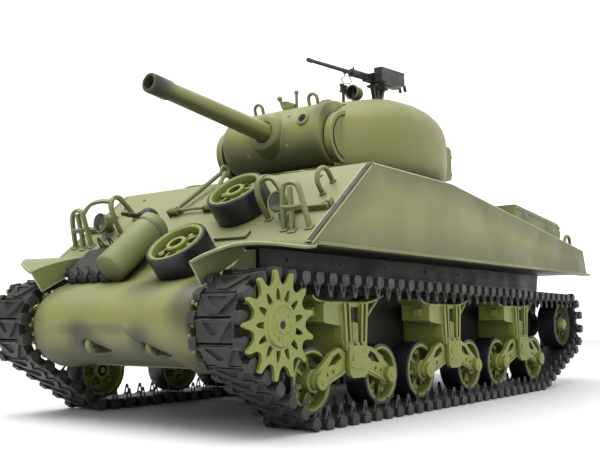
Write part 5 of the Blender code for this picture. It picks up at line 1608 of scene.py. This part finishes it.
def turret_shell():
    """The cast turret, cut open at the front for the gun shield."""
    steps = 112
    bm = bmesh.new()
    rings = []
    for z, scale in LEVELS:
        ring = []
        for i in range(steps):
            angle = 2 * math.pi * i / steps
            radius = min(turret_radius(angle), TURRET_REACH) * scale
            y = TURRET_CENTRE.y + radius * math.sin(angle)
            ring.append(bm.verts.new((radius * math.cos(angle), y, z - roof_drop(y, z))))
        rings.append(ring)
    for low, high in zip(rings, rings[1:]):
        bridge(bm, low, high, ring=True)
    cap_ends(bm, rings)
    half = SHIELD_HALF + 0.7
    cut = rod((-half, *TRUNNION.yz), (half, *TRUNNION.yz), SHIELD_RADIUS + 0.8, 64)
    bm = carved(bm, cut)
    reach = SHIELD_RADIUS - 3
    bm = carved(bm, block((-half, -90, TURRET_LOW.z - 5), (half, TRUNNION.y - 6, TRUNNION.z + reach)))
    piece("turret_casting", bm, CAST, "turret", "turret_shell", angle=48)


def cheek_plates():
    """D-shaped end housings beside the gun shield, each with a scribed cover plate."""
    housing, line = bmesh.new(), bmesh.new()
    for side in (-1, 1):
        outline = [(-52.0, 152.0)] + arc((-57.0, 138.0), 14.2, 95, 262, 18) + [(-50.0, 123.6)]
        low, high = sorted((side * (SHIELD_HALF + 0.8), side * 39.6))
        put(housing, prism(outline, "X", low, high))
        ring = [(side * 39.8, y, z) for y, z in arc((-57.0, 138.0), 11.6, 88, 272, 22)]
        put(line, tube(ring, 0.28, 6))
        put(line, tube([ring[0], (side * 39.9, -54.0, 144.0), (side * 39.9, -54.0, 130.0), ring[-1]], 0.3, 6))
        for y, z in ((-58.5, 151.0), (-55.0, 150.6)):
            put(housing, rod((side * 39.4, y, z - 0.6), (side * 40.1, y, z - 0.6), 0.8, 8))
    piece("shield_housings", housing, CAST, "turret", bevel=0.3)
    piece("housing_seams", line, HOLLOW_SHADE_AND_SEAM, "turret")


def gun_turn():
    """The gun's own frame: at the trunnion, tilted up as the gun is at rest."""
    return Matrix.Translation(TRUNNION) @ Matrix.Rotation(-GUN_TILT, 4, "X")


def gun_shield():
    """The cast rotor shield: a rolled half barrel with a swept collar, rolled ends, sight port and bolts."""
    half = SHIELD_HALF
    profile = [
        (-half, 0), (-half, 12.0), (-half + 0.7, 14.4), (-half + 2.2, 16.4), (-half + 4.6, 17.5),
        (-half + 8.0, 17.75)
    ]
    profile += [
        (half - 10.0, 17.3), (half - 6.0, 17.35), (half - 3.2, 17.75), (half - 1.2, 17.7), (half - 0.3, 17.2),
        (half, 16.4)
    ]
    profile += [(half, 0)]
    bm = lathe(profile, 72, centre=TRUNNION)
    collar = lathe([
        (10.0, 0), (10.0, 13.4), (14.5, 12.4), (16.6, 11.2), (17.8, 10.4), (19.4, 9.9), (20.0, 9.2),
        (20.1, 6.0), (18.6, 5.7), (14.0, 5.6), (14.0, 0),
    ], 48, (0, -1, 0))
    put(bm, collar, gun_turn())
    piece("gun_shield_casting", bm, SHIELD, "gun_shield", "gun_shield", angle=44)
    fittings = bmesh.new()
    for x in (-15.0, 22.5):
        place = Matrix.Translation((x, TRUNNION.y, TRUNNION.z)) @ turned(17, "X")
        put(fittings, hoop(2.8, 7.4, 0.9, 12), place @ Matrix.Translation((0, 0, SHIELD_RADIUS - 1.3)))
    port = Matrix.Translation(TRUNNION) @ turned(68, "X")
    port = port @ Matrix.Translation((23.5, 0, SHIELD_RADIUS - 1.4))
    put(fittings, lathe([
        (0, 0), (0, 3.8), (1.4, 3.6), (1.9, 3.0), (1.9, 2.4), (1.2, 2.2), (1.2, 0)
    ], 32, (0, 0, 1)), port.copy())
    for x, lift in ((13.0, 36), (13.0, -22), (-14.0, -30), (-19.0, 30)):
        turn = turned(90 - lift, "X")
        spot = Matrix.Translation((x, *TRUNNION.yz)) @ turn @ Matrix.Translation((0, 0, SHIELD_RADIUS - 0.8))
        put(fittings, lathe([(0, 0), (0, 1.3), (0.7, 1.1), (0.9, 0)], 12, (0, 0, 1)), spot)
    sight = Matrix.Translation((0, TRUNNION.y, TRUNNION.z)) @ turned(8, "X")
    sight = sight @ Matrix.Translation((0, 0, SHIELD_RADIUS - 0.4))
    put(fittings, block((1.0, -2.2, 0), (9.0, 1.2, 2.0)), sight.copy())
    put(
        fittings, prism([(1.0, 2.0), (9.0, 1.0), (9.0, 2.2), (3.0, 4.8), (1.0, 4.8)], "Y", -1.8, 0.8),
        sight.copy()
    )
    put(fittings, rod((0.8, -1.2, 1.0), (-0.6, -1.6, 6.0), 0.9, 10), sight.copy())
    put(fittings, ball((-0.8, -1.7, 6.6), 1.5, 14), sight.copy())
    put(fittings, rod((9.4, -0.4, 0), (10.0, -0.4, 8.2), 0.85, 10), sight.copy())
    put(fittings, ball((10.0, -0.4, 8.4), 1.3, 14), sight.copy())
    piece("shield_fittings", fittings, FITTING, "gun_shield", bevel=0.15)
    # painted shade inside the sight port
    dark = lathe([(1.2, 0), (1.2, 2.1), (1.45, 2.1), (1.45, 0.9), (1.25, 0.9), (1.25, 0)], 28, (0, 0, 1))
    bmesh.ops.transform(dark, verts=dark.verts, matrix=port)
    put(dark, ball((0, 0, 1.3), 0.55, 8), port.copy())
    piece("sight_port_bore", dark, HOLLOW_SHADE_AND_SEAM, "gun_shield")


def gun_barrel():
    """The gun's barrel, with a thickened muzzle and a deep bore."""
    length = 101.0
    profile = [
        (7.0, 0), (7.0, 5.3), (22.0, 5.3), (24.0, 5.15), (60.0, 4.65), (length - 13.0, 4.25),
        (length - 12.2, 4.7), (length - 11.6, 4.85),
        (length - 1.0, 4.75), (length - 0.3, 4.55), (length, 4.2), (length, 3.3), (length - 0.7, 3.1),
        (length - 26.0, 3.0), (length - 26.0, 0),
    ]
    bm = lathe(profile, 56, (0, -1, 0))
    bmesh.ops.transform(bm, verts=bm.verts, matrix=gun_turn())
    piece("gun_tube", bm, BARREL, "gun_barrel", "gun_barrel", angle=40, slot="barrel_paint")
    # painted shade inside the gun's bore
    bore = lathe([
        (length - 25.9, 0), (length - 25.9, 2.95), (length - 4.0, 3.02), (length - 4.0, 2.98),
        (length - 25.5, 2.9), (length - 25.5, 0)
    ], 40, (0, -1, 0))
    bmesh.ops.transform(bore, verts=bore.verts, matrix=gun_turn())
    piece("gun_bore", bore, HOLLOW_SHADE_AND_SEAM, "gun_barrel", slot="barrel_paint")


def turret_fittings():
    """Roof and rear fittings of the turret."""
    top = ROOF_TOP_Z
    bm = bmesh.new()
    hatch = Vector((HATCH_HINGE.x + HATCH_RADIUS + 2.0, HATCH_HINGE.y, 0))
    put(bm, lathe([
        (top - 2.0, HATCH_RADIUS + 0.4), (top - 2.0, HATCH_RADIUS + 3.4), (top + 0.2, HATCH_RADIUS + 3.0),
        (top + 1.2, HATCH_RADIUS + 2.0),
        (top + 1.9, HATCH_RADIUS + 1.4), (top + 1.9, HATCH_RADIUS + 0.4),
    ], 64, (0, 0, 1), hatch))
    put(bm, block(
        (HATCH_HINGE.x - 1.8, HATCH_HINGE.y - 5, top - 1.4),
        (HATCH_HINGE.x + 0.4, HATCH_HINGE.y - 2.6, top + 3.0)
    ))
    put(bm, block(
        (HATCH_HINGE.x - 1.8, HATCH_HINGE.y + 2.6, top - 1.4),
        (HATCH_HINGE.x + 0.4, HATCH_HINGE.y + 5, top + 2.2)
    ))
    dome = [
        (top - 2, 0), (top - 2, 8.4), (top + 0.6, 8.1), (top + 1.7, 7.0), (top + 2.4, 4.4), (top + 2.6, 0)
    ]
    put(bm, lathe(dome, 40, (0, 0, 1), (5.0, -24.0, 0)))
    for x in (-12.0, 12.0):
        place = Matrix.Translation((x, -36.0, top - 3.4)) @ turned(12, "X")
        put(bm, lathe([(-1.5, 0), (-1.5, 4.6), (0.7, 4.4), (0.9, 0)], 28, (0, 0, 1)), place.copy())
        put(bm, prism([(-2.6, 0.5), (2.6, 0.5), (2.2, 3.4), (-1.6, 3.4)], "X", -2.2, 2.2), place)
    put(bm, lathe(
        [(top - 1, 0), (top - 1, 6.2), (top + 0.7, 5.9), (top + 1.0, 5.2), (top + 1.0, 0)], 32, (0, 0, 1),
        (18.0, 26.0, 0)
    ))
    put(bm, lathe(
        [(-5.4, 0), (-5.4, 5.6), (-0.7, 4.8), (0.5, 4.2), (0.5, 0)], 32, (0, 0, 1),
        (MG_PIVOT.x, MG_PIVOT.y, top)
    ))
    put(bm, rod((SPOTLIGHT.x, SPOTLIGHT.y, 160), (SPOTLIGHT.x, SPOTLIGHT.y, SPOTLIGHT.z - 0.2), 2.4, 20))
    piece("turret_roof_fittings", bm, FITTING, "turret", bevel=0.2)

    vane = bmesh.new()
    put(vane, rod((20.2, -31.0, 162.0), (20.2, -31.0, 171.4), 0.9, 10))
    put(vane, block((19.6, -33.4, 170.8), (20.8, -28.6, 175.4)))
    for y in (-33.4, -28.6):
        for z in (171.2, 175.0):
            put(vane, rod((19.5, y, z), (20.9, y, z), 0.7, 8))
    put(vane, rod((20.2, -31.0, 175.2), (20.2, -31.0, 175.95), 0.6, 8))
    put(vane, rod((24.6, -27.5, 163.0), (24.6, -27.5, 170.4), 0.7, 10))
    piece("vane_sight", vane, GUNMETAL, "turret")

    rear = bmesh.new()
    back = TURRET_CENTRE.y + 78.0
    put(rear, block((26.0, 66.0, 133.0), (32.4, 72.4, 155.0)))
    put(rear, block((27.0, 72.0, 134.0), (31.6, 76.0, 152.0)))
    for z in (138.0, 149.5):
        put(rear, rod((29.4, 75.0, z), (29.4, 78.3, z), 1.7, 16))
    put(rear, rod((29.4, 76.6, 150.4), (29.4, 76.6, 154.6), 1.5, 16))
    for x in (-24, -8, 8):
        put(rear, hoop(3.2, 5.6, 0.7), Matrix.Translation((x, back - 6.6, 140.0)) @ turned(-90, "X"))
    piece("bustle_brackets", rear, FITTING, "turret", bevel=0.25)


def turret_hatch():
    """The commander's round lid with a raised rim, grab handle and hinge."""
    top = ROOF_TOP_Z
    centre = Vector((HATCH_HINGE.x + HATCH_RADIUS + 2.0, HATCH_HINGE.y, top))
    r = HATCH_RADIUS
    bm = lathe([
        (0.7, 0), (0.7, r - 0.1), (1.5, r - 0.1), (2.1, r - 1.0), (2.1, r - 3.0), (1.6, r - 3.4), (1.6, 0)
    ], 64, (0, 0, 1), centre)
    put(bm, lathe([(1.5, 0), (1.5, 4.6), (2.2, 4.2), (2.6, 2.8), (2.65, 0)], 32, (0, 0, 1), centre))
    put(bm, hoop(3.0, 4.0, 0.5), Matrix.Translation((centre.x + 6.0, centre.y, top + 1.4)) @ turned(90, "Z"))
    hinge = HATCH_HINGE
    put(bm, rod((hinge.x, hinge.y - 2.4, hinge.z), (hinge.x, hinge.y + 2.4, hinge.z), 0.9, 14))
    put(bm, block((hinge.x, hinge.y - 2.0, hinge.z - 0.8), (hinge.x + 4.4, hinge.y + 2.0, hinge.z + 0.3)))
    piece("hatch_lid", bm, FITTING, "turret_hatch", "turret_hatch", angle=40)


def spotlight():
    """Swivelling searchlight: a drum with a rolled rim, a reflector bowl in painted shade, and a yoke."""
    lift = 4.6
    centre = SPOTLIGHT + Vector((0, 0, lift))
    lamp = lathe([
        (-4.3, 0), (-4.2, 1.6), (-3.2, 3.0), (-1.6, 3.9), (3.2, 4.25), (4.2, 4.45), (4.35, 4.2), (4.3, 3.7),
        (3.6, 3.6),
        (1.0, 3.2), (0.4, 1.8), (0.2, 0),
    ], 40, (0, -1, 0), centre)
    piece("searchlight_drum", lamp, FITTING, "spotlight", "spotlight", angle=40)
    # painted shade inside the searchlight's drum
    inside = lathe([
        (0.3, 0), (0.5, 1.8), (1.1, 3.16), (3.4, 3.52), (3.3, 3.4), (1.3, 3.0), (0.8, 1.7), (0.6, 0)
    ], 40, (0, -1, 0), centre)
    piece("searchlight_bowl", inside, HOLLOW_SHADE_AND_SEAM, "spotlight")
    yoke = bmesh.new()
    put(yoke, rod(SPOTLIGHT, SPOTLIGHT + Vector((0, 0, 1.2)), 1.5, 14))
    for side in (-1, 1):
        sweep = [math.pi / 2 * k / 6 for k in range(7)]
        points = [SPOTLIGHT + Vector((side * 4.2 * math.sin(a), 0, lift - 4.2 * math.cos(a))) for a in sweep]
        put(yoke, tube(points, 0.32, 6))
    piece("searchlight_yoke", yoke, FITTING, "spotlight")


def machine_gun():
    """Heavy machine gun: pierced cooling jacket, ribbed receiver, spade grips, can and cradle."""
    turn = Matrix.Translation(MG_PIVOT) @ Matrix.Rotation(MG_TILT, 4, "X")
    gun = bmesh.new()
    put(gun, block((-1.9, -13.0, -2.5), (1.9, 20.5, 1.6)))
    put(gun, prism([(-10.5, 1.4), (20.0, 1.4), (19.4, 2.9), (-6.0, 3.1), (-8.6, 2.4)], "X", -1.75, 1.75))
    for y in range(-5, 17, 3):
        put(gun, block((1.7, y, -1.8), (2.15, y + 0.8, 1.2)))
    put(gun, block((-2.2, 4.0, -2.9), (2.2, 12.0, -1.9)))
    jacket = carved(
        lathe([(12.8, 0), (12.8, 2.1), (25.6, 2.1), (26.2, 1.8), (26.4, 1.5), (26.4, 0)], 20, (0, -1, 0)),
        jacket_holes(),
    )
    put(gun, jacket)
    put(gun, lathe([
        (26.0, 0), (26.0, 1.15), (60.0, 0.95), (62.6, 0.95), (62.8, 1.15), (66.2, 1.15), (66.4, 0.95),
        (66.4, 0)
    ], 16, (0, -1, 0)))
    put(gun, lathe([(24.8, 0), (24.8, 2.1), (26.4, 2.4), (26.8, 1.7), (26.8, 0)], 20, (0, -1, 0)))
    put(gun, prism([(-34.0, -1.0), (-34.0, -1.8), (-32.0, -1.8), (-32.0, -1.0)], "X", -0.4, 0.4))
    wire = [(
        0, -33.4, -1.0
    ), (
        0, -33.4, -3.4
    ), (0, -36.2, -4.6), (0, -36.4, -6.2), (0, -35.2, -7.2), (0, -27.6, -6.2), (0, -26.8, -5.2),
            (0, -27.4, -4.0), (0, -29.2, -3.0), (0, -29.2, -1.0)]
    put(gun, tube(wire, 0.28, 6))
    put(gun, block((-2.4, 20.3, -2.4), (2.4, 21.6, 2.2)))
    for side in (-1, 1):
        put(gun, tube([
            (side * 1.6, 21.4, 0.9), (side * 1.6, 24.6, 0.9), (side * 1.7, 27.6, -0.2),
            (side * 1.7, 28.6, -2.2)
        ], 0.55, 8))
        put(gun, rod((side * 1.7, 27.8, 0.6), (side * 1.7, 28.9, -3.0), 0.95, 10))
    put(gun, rod((-2.4, 24.8, 0.9), (2.4, 24.8, 0.9), 0.4, 8))
    put(gun, rod((1.8, 10.0, 0.2), (4.2, 10.0, 0.2), 0.5, 8))
    put(gun, prism([(-1.0, 2.9), (2.0, 2.9), (1.6, 4.0), (-0.6, 4.0)], "X", -0.7, 0.7))
    put(gun, block((-0.3, -24.6, 2.2), (0.3, -23.6, 3.8)))
    bmesh.ops.transform(gun, verts=gun.verts, matrix=turn)
    piece("heavy_machine_gun", gun, GUNMETAL, "machine_gun", "machine_gun", bevel=0.1, slot="gun_metal")
    can = block((3.6, -8.8, -2.9), (8.8, 16.2, 4.2))
    put(can, block((3.5, -8.95, 4.0), (9.0, 16.45, 4.9)))
    for z in (-1.6, 0.8, 2.4):
        put(can, block((8.6, -7.6, z), (8.95, 15.0, z + 0.6)))
    put(can, block((3.8, -8.95, 1.0), (8.4, -8.6, 2.0)))
    put(can, prism([(1.5, 2.0), (3.8, 3.4), (3.8, 4.6), (1.5, 2.9)], "Y", -1.0, 6.0))
    bmesh.ops.transform(can, verts=can.verts, matrix=turn)
    piece("ammunition_can", can, GUNMETAL, "machine_gun", "ammo_box", bevel=0.2, slot="gun_metal")

    cradle = bmesh.new()
    base = ROOF_TOP_Z + 0.9
    put(cradle, lathe(
        [(0, 0), (0, 4.1), (1.0, 4.0), (1.5, 2.6), (1.6, 0)], 28, (0, 0, 1), (MG_PIVOT.x, MG_PIVOT.y, base)
    ))
    put(cradle, rod(
        (MG_PIVOT.x, MG_PIVOT.y, base + 1), (MG_PIVOT.x, MG_PIVOT.y, MG_PIVOT.z - 4.4), 1.5, 16,
        end_radius=1.2
    ))
    for foot_y, top_y, wide in ((-3.0, -5.6, 1.4), (3.0, 5.8, 2.2)):
        foot = MG_PIVOT + Vector((0, foot_y, base + 0.8 - MG_PIVOT.z))
        put(cradle, strap([foot, MG_PIVOT + Vector((0, top_y, -4.4))], 2.2, wide, (1, 0, 0)))
    put(cradle, block(
        (MG_PIVOT.x - 3.0, MG_PIVOT.y - 6.6, MG_PIVOT.z - 5.2),
        (MG_PIVOT.x + 3.0, MG_PIVOT.y + 7.0, MG_PIVOT.z - 4.0)
    ))
    for x in (-3.0, 2.3):
        put(
            cradle,
            prism(
                [(-4.0, -5.0), (4.0, -5.0), (1.6, 1.0), (-1.6, 1.0)], "X", MG_PIVOT.x + x,
                MG_PIVOT.x + x + 0.7
            ),
            Matrix.Translation((0, MG_PIVOT.y, MG_PIVOT.z))
        )
    piece("gun_cradle", cradle, GUNMETAL, "mg_pintle", "mg_pintle", bevel=0.1, slot="gun_metal")


def jacket_holes():
    """Rows of round holes around the machine gun's cooling jacket."""
    bm = bmesh.new()
    for row in range(4):
        for k in range(4):
            angle = math.radians(90 * k + 45 * (row % 2))
            out = Vector((math.cos(angle), 0, math.sin(angle)))
            y = -15.0 - row * 2.7
            put(bm, rod(out * 1.6 + Vector((0, y, 0)), out * 3.0 + Vector((0, y, 0)), 0.6, 8))
    return bm


def bow_gun():
    """The hull machine gun in its ball mount."""
    centre = joint("bow_gun_swivel")
    bm = ball(centre, 4.9, 32)
    put(bm, lathe([(3.6, 0), (3.6, 2.8), (5.6, 2.5), (6.4, 2.0), (6.4, 0)], 24, (0, -1, 0), centre))
    put(bm, lathe([
        (6.0, 0), (6.0, 1.3), (14.0, 1.3), (14.2, 1.0), (17.3, 1.0), (17.4, 0.6), (16.6, 0.5), (16.6, 0)
    ], 16, (0, -1, 0), centre))
    piece("bow_machine_gun", bm, GUNMETAL, "bow_gun", "bow_gun", angle=40, slot="gun_metal")


# ---------------------------------------------------------------- inner parts kept from the CAD

def repaint_cad():
    # the lower hull takes the tub's painted shade
    for node, finish in (
        ("lower_hull", TUB_IN_SHADE), ("battery_pack", WRAP), ("control_board", BOARD), ("drive_gearbox", ALLOY)
    ):
        data = frame["nodes"][node]
        for slot in data.material_slots:
            slot.link = "OBJECT"
            slot.material = finish


# ---------------------------------------------------------------- stage, light and camera

# The stage is in metres, the camera's place in mm and its angles in radians.
TABLE = ((-4, -3, 0), (4, -3, 0), (4, 1.3, 0), (-4, 1.3, 0))
TABLE_TONE = (0.88, 0.88, 0.89)
WALL = ((-6, 2.2, -2), (6, 2.2, -2), (6, 2.2, 4), (-6, 2.2, 4))
WALL_TONE = (0.95, 0.95, 0.96)
WALL_GLOW = 0.9
WHITE = (1.0, 1.0, 1.0, 1.0)
WORLD_STRENGTH = 0.40
CAMERA_PLACE = (275.625, -402.66, 44.551)
CAMERA_YAW, CAMERA_PITCH, CAMERA_ROLL = 0.657, 0.114, -0.004


def stage():
    """A pale table in front of a white lit wall, both plain."""
    for name, corners, tone, glow in (
        ("table_top", TABLE, TABLE_TONE, 0.0), ("back_wall", WALL, WALL_TONE, WALL_GLOW),
    ):
        bm = bmesh.new()
        bm.faces.new([bm.verts.new(c) for c in corners])
        mesh = bpy.data.meshes.new(name)
        bm.to_mesh(mesh)
        bm.free()
        f = Finish(name + "_finish", 0.7)
        f.colour(f.mix(f.noise(3, 2), tuple(t * 0.98 for t in tone), tone))
        f.shader.inputs["Emission Color"].default_value = WHITE
        f.shader.inputs["Emission Strength"].default_value = glow
        mesh.materials.append(f.material)
        made = bpy.data.objects.new(name, mesh)
        bpy.context.scene.collection.objects.link(made)


def light(name, location, target, size, power):
    data = bpy.data.lights.new(name, "AREA")
    data.shape = "RECTANGLE"
    data.size, data.size_y = size
    data.energy = power
    made = bpy.data.objects.new(name, data)
    made.location = location
    made.rotation_euler = (Vector(target) - Vector(location)).to_track_quat("-Z", "Y").to_euler()
    bpy.context.scene.collection.objects.link(made)


def studio():
    world = bpy.data.worlds.new("studio")
    world.use_nodes = True
    back = world.node_tree.nodes["Background"]
    back.inputs["Color"].default_value = WHITE
    back.inputs["Strength"].default_value = WORLD_STRENGTH
    bpy.context.scene.world = world
    bpy.context.scene.view_settings.view_transform = "Standard"
    light("top_softbox", (-0.15, -0.35, 1.1), (0, 0, 0.05), (1.3, 1.0), 15)
    light("front_fill", (0.9, -1.0, 0.62), (0, 0, 0.06), (0.9, 0.7), 4.5)


def camera():
    """The camera stands low at the tank's front left corner, looking slightly up."""
    yaw, pitch, roll = CAMERA_YAW, CAMERA_PITCH, CAMERA_ROLL
    forward = Vector((-math.sin(yaw) * math.cos(pitch), math.cos(yaw) * math.cos(pitch), math.sin(pitch)))
    right = forward.cross(Vector((0, 0, 1))).normalized()
    up = right.cross(forward)
    tilted_right = right * math.cos(roll) + up * math.sin(roll)
    tilted_up = up * math.cos(roll) - right * math.sin(roll)
    data = bpy.data.cameras.new("camera")
    data.lens = 49.26
    data.sensor_width = 36.0
    data.clip_start = 0.01
    made = bpy.data.objects.new("camera", data)
    turn = Matrix((tilted_right, tilted_up, -forward)).transposed().to_4x4()
    made.matrix_world = Matrix.Translation(Vector(CAMERA_PLACE) * MM) @ turn
    bpy.context.scene.collection.objects.link(made)
    bpy.context.scene.camera = made


def build():
    camera()
    stage()
    studio()
    hull_shell()
    hull_trim()
    hull_fittings()
    fenders()
    nose()
    tub_details()
    lamp_guards()
    lifting_rings()
    canister()
    spare_and_road_wheels()
    spare_links()
    travel_lock()
    stowage_box()
    engine_deck()
    tracks()
    sprockets()
    idlers()
    bogie_brackets()
    swing_arms()
    turret_shell()
    cheek_plates()
    gun_shield()
    gun_barrel()
    turret_fittings()
    turret_hatch()
    spotlight()
    machine_gun()
    bow_gun()
    repaint_cad()


build()
